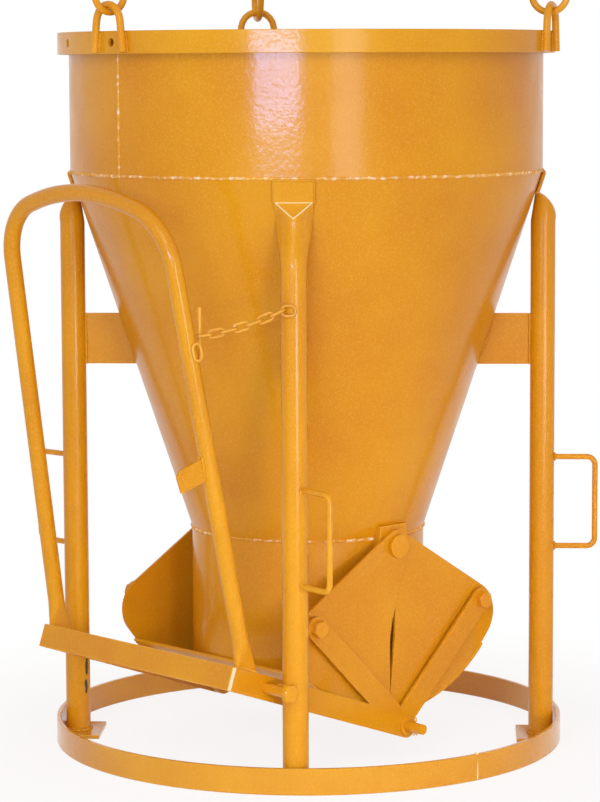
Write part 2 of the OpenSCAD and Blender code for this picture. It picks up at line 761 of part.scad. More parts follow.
// Catch plate: flat tab welded to the operator side of the handle's right tube
module catch_plate() {
    half = catch_w / 2;
    reach = tube_d / 2 + catch_l;
    outline = [
        [0, half],
        [catch_clip - reach, half],
        [-reach, half - catch_clip],
        [-reach, -half],
        [0, -half]
    ];
    color(paint) on_right_tube(catch_h) difference() {
        rotate([catch_droop, 0, 0]) x_plate(outline, -catch_t / 2, catch_t);
        translate([0, 0, -catch_l]) cylinder(d = tube_d + 2 * seat, h = 2 * catch_l);
    }
}

// Toggle pins: fixed in the arms, through the lower eyes of the links
module toggle_pins() {
    color(paint_light) both_sides() translate([0, 0, toggle_z])
        difference() {
            x_bar(toggle_d, rear_link_x - 2, arm_out + toggle_out);
            translate([arm_out + toggle_out / 2, 0, -toggle_d])
                cylinder(d = split_d + 2 * pin_fit, h = 2 * toggle_d);
        }
}

// Washers on the toggle pins, outside the arms
module toggle_washers() {
    color(paint) both_sides() translate([0, 0, toggle_z]) difference() {
        x_bar(washer_d, arm_out + seat, arm_out + seat + washer_t);
        x_bar(toggle_d + 2 * pin_fit, arm_out - 1, arm_out + washer_t + 1);
    }
}

// Split pins through the toggle pins
module toggle_split_pins() {
    color(paint_dark) both_sides() translate([arm_out + toggle_out / 2, 0, toggle_z - toggle_d * 0.8])
        cylinder(d = split_d, h = toggle_d * 1.6);
}

// Eye on the front right leg that holds the safety chain
module chain_leg_eye() {
    color(paint_light) at_angle(RIGHT_FRONT) translate([eye_r, -eye_shift, eye_z]) rotate([0, 0, 90])
        oblong(eye_in_l, eye_in_w, chain_wire_d);
}

// Eye welded flat on the outer side of the handle's right tube, near which the toggle bar hangs
module handle_eye() {
    color(paint_light) on_right_tube(handle_eye_h)
        translate([tube_d / 2 + seat + chain_wire_d / 2, eye_off_y, 0])
            rotate([0, 0, 90]) rotate([0, 90, 0]) oblong(handle_eye_l, eye_in_w, chain_wire_d);
}

// Place in the chain's own upright plane
module on_chain(at) {
    translate(chain_start) rotate([0, 0, chain_yaw]) translate(at) children();
}

// Chain links: lying and standing by turns
module chain_links() {
    color(paint_light) for (i = [0 : chain_n - 1])
        on_chain(chain_at(i)) rotate([0, -chain_a(i), 0]) rotate([i % 2 == 0 ? 90 : 0, 0, 0])
            oblong(chain_in_l, chain_in_w, chain_wire_d);
}

// Toggle bar held in the chain's last link
module chain_toggle_bar() {
    last = chain_n - 1;
    color(paint) on_chain(chain_at(last) + (chain_in_l - chain_in_w) / 2 * chain_dir(last))
        translate([0, 0, -toggle_bar_l / 2]) cylinder(d = toggle_bar_d, h = toggle_bar_l);
}

base_ring();
foot_plates();
leg_front_right();
leg_rear_right();
leg_rear_left();
leg_front_left();
leg_gussets();
grab_handle_front_right();
grab_handle_rear_right();
grab_handle_rear_left();
grab_handle_front_left();
outlet_tube();
hopper_cone();
hopper_cylinder();
rim_ring();
lug_front();
lug_right();
lug_left();
lifting_link_front();
lifting_link_right();
lifting_link_left();
pivot_blocks();
gate_pivot_pins();
rear_jaw_plate();
rear_jaw_side_right();
rear_jaw_side_left();
rear_link_bolts();
front_jaw_plate();
front_jaw_side_right();
front_jaw_side_left();
front_link_bolts();
rear_link_right();
rear_link_left();
front_link_right();
front_link_left();
lever_pivot_bolts();
lever_pivot_nuts();
lever_arm_right();
lever_arm_left();
lever_cross_bar();
lever_handle();
catch_plate();
toggle_pins();
toggle_washers();
toggle_split_pins();
chain_leg_eye();
handle_eye();
chain_links();
chain_toggle_bar();
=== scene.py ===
import math

import bmesh
import bpy
from mathutils import Matrix, Vector


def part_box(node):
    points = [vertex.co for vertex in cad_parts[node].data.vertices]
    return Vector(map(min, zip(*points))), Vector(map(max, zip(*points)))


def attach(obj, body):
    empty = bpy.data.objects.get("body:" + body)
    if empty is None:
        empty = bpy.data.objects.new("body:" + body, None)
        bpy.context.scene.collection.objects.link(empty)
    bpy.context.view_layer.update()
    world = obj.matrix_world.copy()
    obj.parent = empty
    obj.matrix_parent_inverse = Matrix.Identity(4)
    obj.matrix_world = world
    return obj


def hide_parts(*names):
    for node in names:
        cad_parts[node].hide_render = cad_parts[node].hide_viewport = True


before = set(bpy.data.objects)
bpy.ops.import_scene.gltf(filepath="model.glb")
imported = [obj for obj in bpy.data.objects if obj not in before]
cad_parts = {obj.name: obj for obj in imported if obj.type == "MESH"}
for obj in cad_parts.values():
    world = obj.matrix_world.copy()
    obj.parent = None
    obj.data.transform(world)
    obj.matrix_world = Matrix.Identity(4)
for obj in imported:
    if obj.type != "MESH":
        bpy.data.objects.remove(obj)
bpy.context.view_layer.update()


# Viewpoint: a long lens 5.7 m off, 48 degrees round from the lever's side, level with the upper cylinder
# and tipped down until the base ring is in the picture.
view_round, view_down, view_roll = (math.radians(angle) for angle in (48.086, 6.508, -0.234))
view_place, focal_px, picture_px = (4.2361, -3.8222, 1.3197), 2913.75, 802
to_right = Vector((math.cos(view_round), math.sin(view_round), 0))
ahead = Vector((-math.sin(view_round) * math.cos(view_down),
                math.cos(view_round) * math.cos(view_down), -math.sin(view_down)))
upward = to_right.cross(ahead)
rolled_right = to_right * math.cos(view_roll) + upward * math.sin(view_roll)
rolled_up = upward * math.cos(view_roll) - to_right * math.sin(view_roll)
camera = bpy.data.objects.new("camera", bpy.data.cameras.new("camera"))
camera.data.lens = focal_px / picture_px * camera.data.sensor_width
camera.matrix_world = (Matrix.Translation(view_place)
                       @ Matrix((rolled_right, rolled_up, -ahead)).transposed().to_4x4())
bpy.context.collection.objects.link(camera)
bpy.context.scene.camera = camera


# Base ring: 50 x 8 mm flat bar rolled on edge and butt-welded once, sprayed together with the whole bucket.
# It stands on the ground and carries the four foot plates.
def linear(code):
    """Linear RGBA of an sRGB hex colour."""
    parts = [int(code[i:i + 2], 16) / 255 for i in (1, 3, 5)]
    return [p / 12.92 if p <= 0.04045 else ((p + 0.055) / 1.055) ** 2.4 for p in parts] + [1.0]


def add(tree, kind, inputs=None, **settings):
    """Adds a node, sets its settings, and sets or links its inputs."""
    node = tree.nodes.new(kind)
    for name, value in settings.items():
        setattr(node, name, value)
    for name, value in (inputs or {}).items():
        if isinstance(value, bpy.types.NodeSocket):
            tree.links.new(value, node.inputs[name])
        else:
            node.inputs[name].default_value = value
    return node


def sprayed_enamel(name, colour, deep, roughness=0.3, waves=0.0, chips=(),
                   speck_glint="#E9B24C", speck_glint_share=0.24, grain=0.0035, coat=0.34):
    """Gloss alkyd enamel sprayed on primed steel: soft clouds of thicker and thinner colour, pale specks that stand for
    dry spray and are painted glints of the orange peel, orange peel that breaks up the shine, and chips down to the
    dark steel where they are listed."""
    material = bpy.data.materials.new(name)
    material.use_nodes = True
    tree = material.node_tree
    tree.nodes.clear()
    place = add(tree, "ShaderNodeTexCoord").outputs["Object"]
    # Clouds follow the sweeps of the spray gun, about 220 mm wide
    clouds = add(tree, "ShaderNodeTexNoise", {"Vector": place, "Scale": 1 / 0.22, "Detail": 3.0})
    thick = add(tree, "ShaderNodeMapRange", {"Value": clouds.outputs[0], "From Min": 0.36, "From Max": 0.64})
    tint = add(tree, "ShaderNodeMix", {0: thick.outputs[0], 6: linear(deep), 7: linear(colour)}, data_type="RGBA")
    # Pale specks stand for dry spray, finer than a millimetre, and are painted glints of the orange peel, drawn 3.5 mm
    # wide so that they show
    spray_and_glint_noise = add(tree, "ShaderNodeTexNoise", {"Vector": place, "Scale": 1 / grain, "Detail": 1.0})
    glint_specks = add(tree, "ShaderNodeMapRange", {"Value": spray_and_glint_noise.outputs[0], "From Min": 0.48, "From Max": 0.7,
                                              "To Max": speck_glint_share})
    tint = add(tree, "ShaderNodeMix", {0: glint_specks.outputs[0], 6: tint.outputs[2], 7: linear(speck_glint)}, data_type="RGBA")
    # Rubbed and dusty patches about 60 mm wide change the gloss
    patches = add(tree, "ShaderNodeTexNoise", {"Vector": place, "Scale": 1 / 0.06, "Detail": 2.0})
    gloss = add(tree, "ShaderNodeMapRange", {"Value": patches.outputs[0], "From Min": 0.3, "From Max": 0.7,
                                             "To Min": roughness - 0.05, "To Max": roughness + 0.08})
    shine = gloss.outputs[0]
    for middle, reach in chips:
        # Ragged edges of a chip are about 12 mm long, and the bare steel is dark and dull
        off = add(tree, "ShaderNodeVectorMath", {0: place, 1: middle}, operation="SUBTRACT")
        share = add(tree, "ShaderNodeVectorMath", {0: off.outputs[0], 1: reach}, operation="DIVIDE")
        far = add(tree, "ShaderNodeVectorMath", {0: share.outputs[0]}, operation="LENGTH")
        ragged = add(tree, "ShaderNodeTexNoise", {"Vector": place, "Scale": 1 / 0.012, "Detail": 3.0})
        edge = add(tree, "ShaderNodeMath", {0: far.outputs["Value"], 1: ragged.outputs[0]}, operation="ADD")
        bare = add(tree, "ShaderNodeMapRange", {"Value": edge.outputs[0], "From Min": 1.12, "From Max": 1.05})
        tint = add(tree, "ShaderNodeMix", {0: bare.outputs[0], 6: tint.outputs[2], 7: linear("#4B4434")},
                   data_type="RGBA")
        shine = add(tree, "ShaderNodeMath", {0: bare.outputs[0], 1: 0.3, 2: shine},
                    operation="MULTIPLY_ADD").outputs[0]
    # Orange peel is 2 to 5 mm wide on the real paint, drawn 9 mm wide so that it shows
    peel = add(tree, "ShaderNodeTexNoise", {"Vector": place, "Scale": 1 / 0.009, "Detail": 1.0})
    bump = add(tree, "ShaderNodeBump", {"Height": peel.outputs[0], "Strength": 0.5, "Distance": 0.0005})
    if waves:
        # Rolled sheet keeps shallow waves about 170 mm long between its welds
        sheet = add(tree, "ShaderNodeTexNoise", {"Vector": place, "Scale": 1 / 0.17, "Detail": 1.0})
        bump = add(tree, "ShaderNodeBump", {"Height": sheet.outputs[0], "Strength": 1.0, "Distance": waves,
                                            "Normal": bump.outputs[0]})
    paint = add(tree, "ShaderNodeBsdfPrincipled", {
        "Base Color": tint.outputs[2], "Roughness": shine, "Normal": bump.outputs[0], "Specular IOR Level": 0.1,
        "Coat Weight": coat, "Coat Roughness": 0.15, "Coat Normal": bump.outputs[0]})
    add(tree, "ShaderNodeOutputMaterial", {"Surface": paint.outputs[0]})
    return material


def placed(name, mesh, *materials, sharp=25):
    """Object at the origin for a finished mesh, smooth but for its sharp edges."""
    if materials:
        mesh.materials.clear()
    for material in materials:
        mesh.materials.append(material)
    mesh.shade_smooth()
    mesh.set_sharp_from_angle(angle=math.radians(sharp))
    piece = bpy.data.objects.new(name, mesh)
    bpy.context.collection.objects.link(piece)
    return piece


def finished(shape, name):
    """Plain mesh of a shape whose faces point outwards."""
    bmesh.ops.recalc_face_normals(shape, faces=shape.faces)
    mesh = bpy.data.meshes.new(name)
    shape.to_mesh(mesh)
    shape.free()
    return mesh


def turned(outline, cut, steps=192):
    """Mesh turned about the bucket's upright axis from a closed outline of (radius, height), its corners cut back."""
    profile = []
    for i, corner in enumerate(outline):
        here = Vector(corner)
        for other in (outline[i - 1], outline[(i + 1) % len(outline)]):
            profile.append(here + (Vector(other) - here).normalized() * cut)
    shape = bmesh.new()
    rings = []
    for step in range(steps):
        turn = 2 * math.pi * step / steps
        rings.append([shape.verts.new((p.x * math.cos(turn), p.x * math.sin(turn), p.y)) for p in profile])
    for step in range(steps):
        ring, following = rings[step], rings[(step + 1) % steps]
        for k in range(len(profile)):
            j = (k + 1) % len(profile)
            face = shape.faces.new((ring[k], ring[j], following[j], following[k]))
            # Faces across the cut corners take the second paint, the painted edge highlight where one is given
            face.material_index = 1 if k % 2 == 0 else 0
    return finished(shape, "turned")


def fit(piece, body, *nodes):
    """Fixes a piece to its body in place of the CAD nodes that it stands for."""
    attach(piece, body)
    if nodes:
        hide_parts(*nodes)


def rays(angle):
    """Level directions at an angle round the bucket: outward, and along the circle."""
    turn = math.radians(angle)
    return Vector((math.cos(turn), math.sin(turn), 0)), Vector((-math.sin(turn), math.cos(turn), 0))


def high(z):
    return Vector((0, 0, z))


def new_tree(name, inputs):
    """Geometry tree with named inputs, and its input sockets."""
    tree = bpy.data.node_groups.new(name, "GeometryNodeTree")
    tree.interface.new_socket("Geometry", in_out="OUTPUT", socket_type="NodeSocketGeometry")
    tree.interface.new_socket("Geometry", in_out="INPUT", socket_type="NodeSocketGeometry")
    for label, kind in inputs.items():
        tree.interface.new_socket(label, in_out="INPUT", socket_type="NodeSocket" + kind)
    return tree, tree.nodes.new("NodeGroupInput").outputs


def wire(paths):
    """Mesh of bare edges along paths; a path that ends where it starts is closed."""
    points, edges = [], []
    for path in paths:
        first = len(points)
        closed = (Vector(path[0]) - Vector(path[-1])).length < 1e-7
        points += [tuple(p) for p in (path[:-1] if closed else path)]
        edges += [(i, i + 1) for i in range(first, len(points) - 1)]
        if closed:
            edges.append((len(points) - 1, first))
    mesh = bpy.data.meshes.new("wire")
    mesh.from_pydata(points, edges, [])
    return mesh


def made_by(tree, name, source, sizes, sharp=40):
    """Plain mesh piece that a geometry tree makes from a source mesh, with its inputs set by identifier."""
    maker = bpy.data.objects.new(name + "_source", source)
    bpy.context.collection.objects.link(maker)
    modifier = maker.modifiers.new("maker", "NODES")
    modifier.node_group = tree
    for item in tree.interface.items_tree:
        if item.in_out == "INPUT" and item.name in sizes:
            modifier[item.identifier] = sizes[item.name]
    result = bpy.data.meshes.new_from_object(maker.evaluated_get(bpy.context.evaluated_depsgraph_get()))
    bpy.data.objects.remove(maker)
    shape = bmesh.new()
    shape.from_mesh(result)
    bmesh.ops.recalc_face_normals(shape, faces=shape.faces)
    shape.to_mesh(result)
    shape.free()
    return placed(name, result, sharp=sharp)


# Weld beads are rows of ripples, each a little larger or smaller than the one before
weld_tree, given = new_tree("weld bead", {"Ripple Pitch": "Float", "Bead Width": "Float", "Seed": "Int",
                                          "Paint": "Material"})
seam = add(weld_tree, "GeometryNodeMeshToCurve", {"Mesh": given["Geometry"]})
spots = add(weld_tree, "GeometryNodeResampleCurve", {"Curve": seam.outputs[0], "Length": given["Ripple Pitch"]},
            mode="LENGTH")
along = add(weld_tree, "GeometryNodeInputTangent")
heading = add(weld_tree, "FunctionNodeAlignRotationToVector", {"Vector": along.outputs[0]}, axis="X")
half = add(weld_tree, "ShaderNodeMath", {0: given["Bead Width"], 1: 0.5}, operation="MULTIPLY")
ripple = add(weld_tree, "GeometryNodeMeshUVSphere", {"Segments": 8, "Rings": 5, "Radius": half.outputs[0]})
uneven = add(weld_tree, "FunctionNodeRandomValue", {2: 0.82, 3: 1.12, "Seed": given["Seed"]}, data_type="FLOAT")
beads = add(weld_tree, "GeometryNodeInstanceOnPoints", {"Points": spots.outputs[0], "Instance": ripple.outputs[0],
                                                        "Rotation": heading.outputs[0], "Scale": uneven.outputs[1]})
solid = add(weld_tree, "GeometryNodeRealizeInstances", {"Geometry": beads.outputs[0]})
painted = add(weld_tree, "GeometryNodeSetMaterial", {"Geometry": solid.outputs[0], "Material": given["Paint"]})
add(weld_tree, "NodeGroupOutput", {"Geometry": painted.outputs[0]})

# Round bar follows its path, with rounded bends where a bend radius is given
bar_tree, given = new_tree("bent bar", {"Bar Diameter": "Float", "Bend Radius": "Float", "Sides": "Int",
                                        "Paint": "Material"})
path = add(bar_tree, "GeometryNodeMeshToCurve", {"Mesh": given["Geometry"]})
bends = add(bar_tree, "GeometryNodeFilletCurve", {"Curve": path.outputs[0], "Count": 10, "Radius": given["Bend Radius"],
                                                  "Limit Radius": True}, mode="POLY")
is_bent = add(bar_tree, "FunctionNodeCompare", {0: given["Bend Radius"], 1: 0.0}, data_type="FLOAT",
              operation="GREATER_THAN")
middle = add(bar_tree, "GeometryNodeSwitch", {"Switch": is_bent.outputs[0], "False": path.outputs[0],
                                              "True": bends.outputs[0]}, input_type="GEOMETRY")
half = add(bar_tree, "ShaderNodeMath", {0: given["Bar Diameter"], 1: 0.5}, operation="MULTIPLY")
section = add(bar_tree, "GeometryNodeCurvePrimitiveCircle", {"Resolution": given["Sides"], "Radius": half.outputs[0]},
              mode="RADIUS")
drawn = add(bar_tree, "GeometryNodeCurveToMesh", {"Curve": middle.outputs[0], "Profile Curve": section.outputs[0],
                                                  "Fill Caps": True})
solid = add(bar_tree, "GeometryNodeRealizeInstances", {"Geometry": drawn.outputs[0]})
painted = add(bar_tree, "GeometryNodeSetMaterial", {"Geometry": solid.outputs[0], "Material": given["Paint"]})
add(bar_tree, "NodeGroupOutput", {"Geometry": painted.outputs[0]})


def bent_bar(name, paths, diameter, sides, paint, bend=0.0):
    """Round bar along paths, one piece."""
    sizes = {"Bar Diameter": diameter, "Bend Radius": bend, "Sides": sides, "Paint": paint}
    return made_by(bar_tree, name, wire(paths), sizes)


ring_r, ring_h, ring_t, ring_edge = 0.5, 0.05, 0.008, 0.0012
# A thick coat on the base bar mirrors the floor as a broad pale sheen
bar_paint = sprayed_enamel("enamel thick on base bar", "#DA9A0C", "#D28C0A", coat=0.8)
# Broken edges are painted as paler lines: a painted highlight along every edge
edge_highlight_paint = sprayed_enamel("enamel painted with edge highlight", "#E8AA28", "#DF991A", 0.26)
# Folds and dressed welds are painted as pale lines: a painted highlight along them
fold_highlight_paint = sprayed_enamel("enamel painted with fold highlight", "#F8E2A8", "#F2D084", 0.25)
ring_outline = [(ring_r - ring_t, 0), (ring_r, 0), (ring_r, ring_h), (ring_r - ring_t, ring_h)]
fit(placed("base_ring_bar", turned(ring_outline, ring_edge), bar_paint, edge_highlight_paint), "frame", "base_ring")
# The butt weld is dressed outside, so it is one low even bead, up the face and in over the top
butt_out, _ = rays(357)
butt_d, butt_r, butt_top = 0.006, ring_r - 0.0024, 0.0492
butt_run = [butt_out * r + high(z) for r, z in ((butt_r, 0.0032), (butt_r, butt_top), (ring_r - 0.0065, butt_top))]
fit(bent_bar("base_ring_weld", [butt_run], butt_d, 12, fold_highlight_paint), "frame")


# Foot plates: 8 mm plates cut to the ring's curve, welded inside it, one under each leg.
# Copies of the solids with whole faces and broken edges carry the paint.
def eased(name, body, nodes, edge, *materials):
    """Piece in place of CAD nodes: a merged copy whose loose triangles are whole faces again, edges broken."""
    shape = bmesh.new()
    for node in nodes:
        shape.from_mesh(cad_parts[node].data)
    bmesh.ops.remove_doubles(shape, verts=shape.verts, dist=2e-6)
    bmesh.ops.dissolve_limit(shape, angle_limit=math.radians(0.6), verts=shape.verts, edges=shape.edges)
    for face in shape.faces:
        face.material_index = 0
    mesh = bpy.data.meshes.new(name)
    shape.to_mesh(mesh)
    shape.free()
    maker = placed(name + "_source", mesh, *materials)
    bevel = maker.modifiers.new("broken edges", "BEVEL")
    bevel.width = edge
    bevel.segments = 2
    bevel.limit_method = "ANGLE"
    bevel.angle_limit = math.radians(40)
    # The bevel faces take the last paint, the painted edge highlight
    bevel.material = len(materials) - 1
    result = bpy.data.meshes.new_from_object(maker.evaluated_get(bpy.context.evaluated_depsgraph_get()))
    bpy.data.objects.remove(maker)
    piece = placed(name, result)
    fit(piece, body, *nodes)
    return piece


# Beads are painted a little paler than the plates beside them, a painted highlight for the light their ripples catch
bead_highlight_paint = sprayed_enamel("enamel on weld beads", "#E0A01E", "#D0860E", 0.3)


def weld(name, body, paths, width, seed, paint=bead_highlight_paint):
    """Weld beads along paths, one piece for the body."""
    sizes = {"Ripple Pitch": width * 0.6, "Bead Width": width, "Seed": seed, "Paint": paint}
    fit(made_by(weld_tree, name, wire(paths), sizes, sharp=60), body)


def hoop(radius, height, start, end, steps):
    """Points of a level arc round the bucket's axis, in degrees."""
    turns = [math.radians(start + (end - start) * i / steps) for i in range(steps + 1)]
    return [(radius * math.cos(t), radius * math.sin(t), height) for t in turns]


# A bead's middle lies this far off the corner that it fills
tuck = 0.001
leg_angles = {"front_right": 315, "rear_right": 45, "rear_left": 135, "front_left": 225}
leg_r, leg_d, foot_t, foot_span = 0.46135, 0.0483, 0.008, 7.2
eased("foot_plates_painted", "frame", ["foot_plates"], 0.0012, bar_paint, edge_highlight_paint)
foot_seams = [hoop(ring_r - ring_t - tuck, foot_t, angle - foot_span, angle + foot_span, 12)
              for angle in leg_angles.values()]
weld("foot_plate_welds", "frame", foot_seams, 0.007, 3)


# Legs: 48.3 mm steel tube, stood on the foot plates. The upper ends were pressed flat by hand, three with a round
# shoulder and one with a long taper folded in along a V, and welded on the cone just below the cylinder.
def skinned(name, rings, *materials, sharp=32):
    """Closed skin over rings with the same count of points."""
    shape = bmesh.new()
    rings = [[shape.verts.new(point) for point in ring] for ring in rings]
    count = len(rings[0])
    for ring, following in zip(rings, rings[1:]):
        for k in range(count):
            j = (k + 1) % count
            shape.faces.new((ring[k], ring[j], following[j], following[k]))
    shape.faces.new(rings[0])
    shape.faces.new(rings[-1])
    return placed(name, finished(shape, name), *materials, sharp=sharp)


def pressed_tube(name, diameter, stations, *materials, sides=48):
    """Tube through stations of (middle, flat direction, wide direction, thickness); pressing keeps its girth."""
    rings = []
    for middle, flat, wide, thick in stations:
        straight = math.pi * (diameter - thick) / 2
        ring = []
        for k in range(sides):
            turn = 2 * math.pi * (k + 0.5) / sides
            out, across = thick / 2 * math.cos(turn), thick / 2 * math.sin(turn)
            ring.append(middle + flat * out + wide * (across + math.copysign(straight / 2, across)))
        rings.append(ring)
    return skinned(name, rings, *materials)


def eased_in(share):
    return share * share * (3 - 2 * share)


outlet_r, outlet_z, cylinder_r, joint_z, rim_z = 0.2285, 0.425, 0.46, 1.123, 1.39
slope = math.atan((cylinder_r - outlet_r) / (joint_z - outlet_z))
pad_t, pad_l, neck, shoulder, pad_tip = 0.0074, 0.041, 0.125, 0.058, 0.0014
fold, ridge_d, ridge_w, crease_w = 0.03, 0.034, 0.033, 0.033
pad_z = joint_z - 0.003 - pad_l * math.cos(slope)
# Tube takes the smoothest coat; two scrapes low on the left front leg are bare, as (middle, reach)
leg_paint = sprayed_enamel("enamel on tube", "#DB960A", "#D28A0A", 0.28, chips=(
    ((-0.302, -0.3226, 0.137), (0.006, 0.006, 0.036)),
    ((-0.3016, -0.3245, 0.099), (0.005, 0.006, 0.03)),
))


def cone_radius(height):
    return outlet_r + (height - outlet_z) * math.tan(slope)


def necked(share, half_w, depth, top, flat):
    """Half section of a pressed tube as (out from the back, across) round its girth: from round to a blunt ridge,
    cut off at top but nowhere thinner than flat."""
    blunt, points = 0.6, []
    for k in range(48):
        turn = 2 * math.pi * (k + 0.5) / 48
        front, across = math.cos(turn), math.sin(turn)
        fall = (math.hypot(across, blunt) - blunt) / (math.hypot(1, blunt) - blunt)
        ridge = depth * (1 - fall) if front > 0 else 0.0
        out = (leg_d / 2 * (1 + front)) * (1 - share) + ridge * share
        points.append((min(max(out, flat if front > 0 else 0.0), top),
                       across * (leg_d / 2 * (1 - share) + half_w * share)))
    return points


leg_seams, folds = [], []
for name, angle in leg_angles.items():
    out, side = rays(angle)
    square = out * math.cos(slope) - high(math.sin(slope))
    rise = out * math.sin(slope) + high(math.cos(slope))
    bottom = out * leg_r + high(foot_t)
    pad = out * (cone_radius(pad_z) + 0.0001) + high(pad_z)
    reach = math.pi * (leg_d - pad_t) / 4 + pad_t / 2
    if name == "front_right":
        back_r, fold_r = leg_r - leg_d / 2, cone_radius(pad_z - fold) + 0.002
        straight = pad_z - neck - foot_t
        levels = [(out * back_r + high(foot_t + straight * i / 4), out, necked(0, 0, leg_d, leg_d, 0))
                  for i in range(5)]
        for share in (i / 16 for i in range(1, 17)):
            spot = out * (back_r + (fold_r - back_r) * share) + high(pad_z - neck + (neck - fold) * share)
            levels.append((spot, out, necked(eased_in(share), ridge_w, ridge_d, leg_d, 0)))
        for share in (i / 12 for i in range(1, 13)):
            spot = (out * fold_r + high(pad_z - fold)).lerp(pad, share)
            tilt = (out * (1 - share) + square * share).normalized()
            levels.append((spot, tilt, necked(1, ridge_w + (reach - ridge_w) * share, ridge_d,
                                              ridge_d + (pad_t - ridge_d) * share, pad_t * share)))
        for along_pad, thin in ((pad_l - 0.001, 0), (pad_l, pad_tip)):
            levels.append((pad + rise * along_pad, square, necked(1, reach, ridge_d, pad_t - thin, pad_t - thin)))
        rings = [[spot + level * x + side * y for x, y in points] for spot, level, points in levels]
        leg = skinned("leg_tube_" + name, rings, leg_paint, sharp=24)
        crease = pad + square * (pad_t - 0.0008)
        apex = out * (fold_r + ridge_d - 0.002) + high(pad_z - fold)
        folds.append([crease - side * crease_w, apex, crease + side * crease_w, crease - side * crease_w])
    else:
        top, pad_middle = out * leg_r + high(pad_z - shoulder), pad + square * pad_t / 2
        stations = [(bottom + (top - bottom) * share, out, side, leg_d) for share in (0, 0.25, 0.5, 0.75, 1)]
        for turn in (math.pi / 2 * i / 19 for i in range(1, 19)):
            share, thick = math.sin(turn), pad_t + (leg_d - pad_t) * math.cos(turn)
            tilt = (out * (1 - share) + square * share).normalized()
            stations.append(((top - out * leg_d / 2).lerp(pad, share) + tilt * thick / 2, tilt, side, thick))
        stations += [(pad_middle + rise * along_pad, square, side, pad_t)
                     for along_pad in (0.0, 0.004, 0.02, pad_l - 0.001)]
        stations.append((pad_middle + rise * pad_l - square * 0.0006, square, side, pad_t - pad_tip))
        leg = pressed_tube("leg_tube_" + name, leg_d, stations, leg_paint)
    fit(leg, "frame", "leg_" + name)
    leg_seams.append([bottom + (out * math.cos(t) + side * math.sin(t)) * (leg_d / 2 + tuck) + high(tuck)
                      for t in (2 * math.pi * k / 36 for k in range(37))])
    for hand in (-1, 1):
        leg_seams.append([pad + square * 0.002 + side * hand * (reach + tuck) + rise * along_pad
                          for along_pad in (0.0, 0.02, pad_l)])
    leg_seams.append([pad + square * 0.0025 + rise * (pad_l + 0.0005) + side * reach * share
                      for share in (-1, -0.5, 0, 0.5, 1)])
weld("leg_welds", "frame", leg_seams, 0.006, 4)
# Thin bars in the pale paint trace the V of the folded leg top as a painted highlight
fit(bent_bar("leg_fold_ridges", folds, 0.005, 8, fold_highlight_paint), "frame")


# Gussets: 8 mm flat plates on edge between each leg and the cone, cut to the cone's slope. They are flame-cut steel
# and filleted on both sides.
gusset_z, gusset_h, gusset_t, gusset_end = 0.743, 0.1, 0.008, 0.003
# Flat plate takes the spray evenly and shines a little less than tube
plate_paint = sprayed_enamel("enamel on plate", "#D79208", "#CE8408", 0.32)
eased("gusset_plates", "frame", ["leg_gussets"], 0.001, plate_paint, edge_highlight_paint)
gusset_seams = []
for angle in leg_angles.values():
    out, side = rays(angle)
    ends = (gusset_z + gusset_end, gusset_z + gusset_h - gusset_end)
    for hand in (-1, 1):
        flank = side * hand * (gusset_t / 2 + tuck)
        gusset_seams.append([out * (cone_radius(z) + 0.0015) + flank + high(z) for z in ends])
        gusset_seams.append([out * (leg_r - leg_d / 2 - tuck) + flank + high(z) for z in ends])
weld("gusset_welds", "frame", gusset_seams, 0.006, 5)


# Grab handles: 11 mm round bar bent twice and welded on the legs. The two on the lever's side are turned
# out of the lever's way.
grab_d, grab_h, grab_reach, grab_bend, grab_z, grab_root = 0.011, 0.177, 0.08, 0.016, 0.383, 0.003
grab_turn = {"front_right": 40, "rear_right": 0, "rear_left": 0, "front_left": -40}
# Round bar is handled most: a brighter, smoother coat
rod_paint = sprayed_enamel("enamel on round bar", "#E19E12", "#D58908", 0.26)
grab_seams = []
for name, angle in leg_angles.items():
    leg = rays(angle)[0] * leg_r
    out, level = rays(angle + grab_turn[name])
    near, far, low, top = leg_d / 2 - grab_root, leg_d / 2 + grab_reach, grab_z, grab_z + grab_h
    points = [leg + out * r + high(z) for r, z in ((near, low), (far, low), (far, top), (near, top))]
    fit(bent_bar("grab_bar_" + name, [points], grab_d, 20, rod_paint, grab_bend), "frame", "grab_handle_" + name)
    for z in (low, top):
        grab_seams.append([leg + out * (leg_d / 2 + tuck)
                           + (level * math.cos(t) + high(math.sin(t))) * (grab_d / 2 + tuck) + high(z)
                           for t in (2 * math.pi * k / 16 for k in range(17))])
weld("grab_handle_welds", "frame", grab_seams, 0.0045, 6)


# Outlet: short tube of 5 mm steel sheet, welded under the cone. Its lower edge is cut round so that the jaws
# swing close past it.
shell_t, pivot_z, swing_r, outlet_sides = 0.005, 0.41, 0.3195, 160
# Rolled sheet keeps shallow waves that bend the long streaks of shine
sheet_paint = sprayed_enamel("enamel on rolled sheet", "#D79208", "#CF8508", 0.32, waves=0.0009)
outlet_in = outlet_r - shell_t
outlet_outline = ((outlet_r, 1), (outlet_r, 0.66), (outlet_r, 0.33), (outlet_r, 0), (outlet_in, 0), (outlet_in, 1))
shape = bmesh.new()
columns = []
for k in range(outlet_sides):
    turn = 2 * math.pi * k / outlet_sides
    low = pivot_z - math.sqrt(swing_r ** 2 - (outlet_r * math.sin(turn)) ** 2)
    columns.append([shape.verts.new((radius * math.cos(turn), radius * math.sin(turn), low + (outlet_z - low) * share))
                    for radius, share in outlet_outline])
for k in range(outlet_sides):
    here, there = columns[k], columns[(k + 1) % outlet_sides]
    for i in range(len(outlet_outline)):
        j = (i + 1) % len(outlet_outline)
        shape.faces.new((here[i], here[j], there[j], there[i]))
fit(placed("outlet_shell", finished(shape, "outlet_shell"), sheet_paint), "frame", "outlet_tube")


# Hopper: cone and upper cylinder of 5 mm sheet, each rolled and closed with one upright seam, then welded
# round at the cylinder's foot and at the outlet.
wall_r, shell_edge = cylinder_r - shell_t, 0.0005
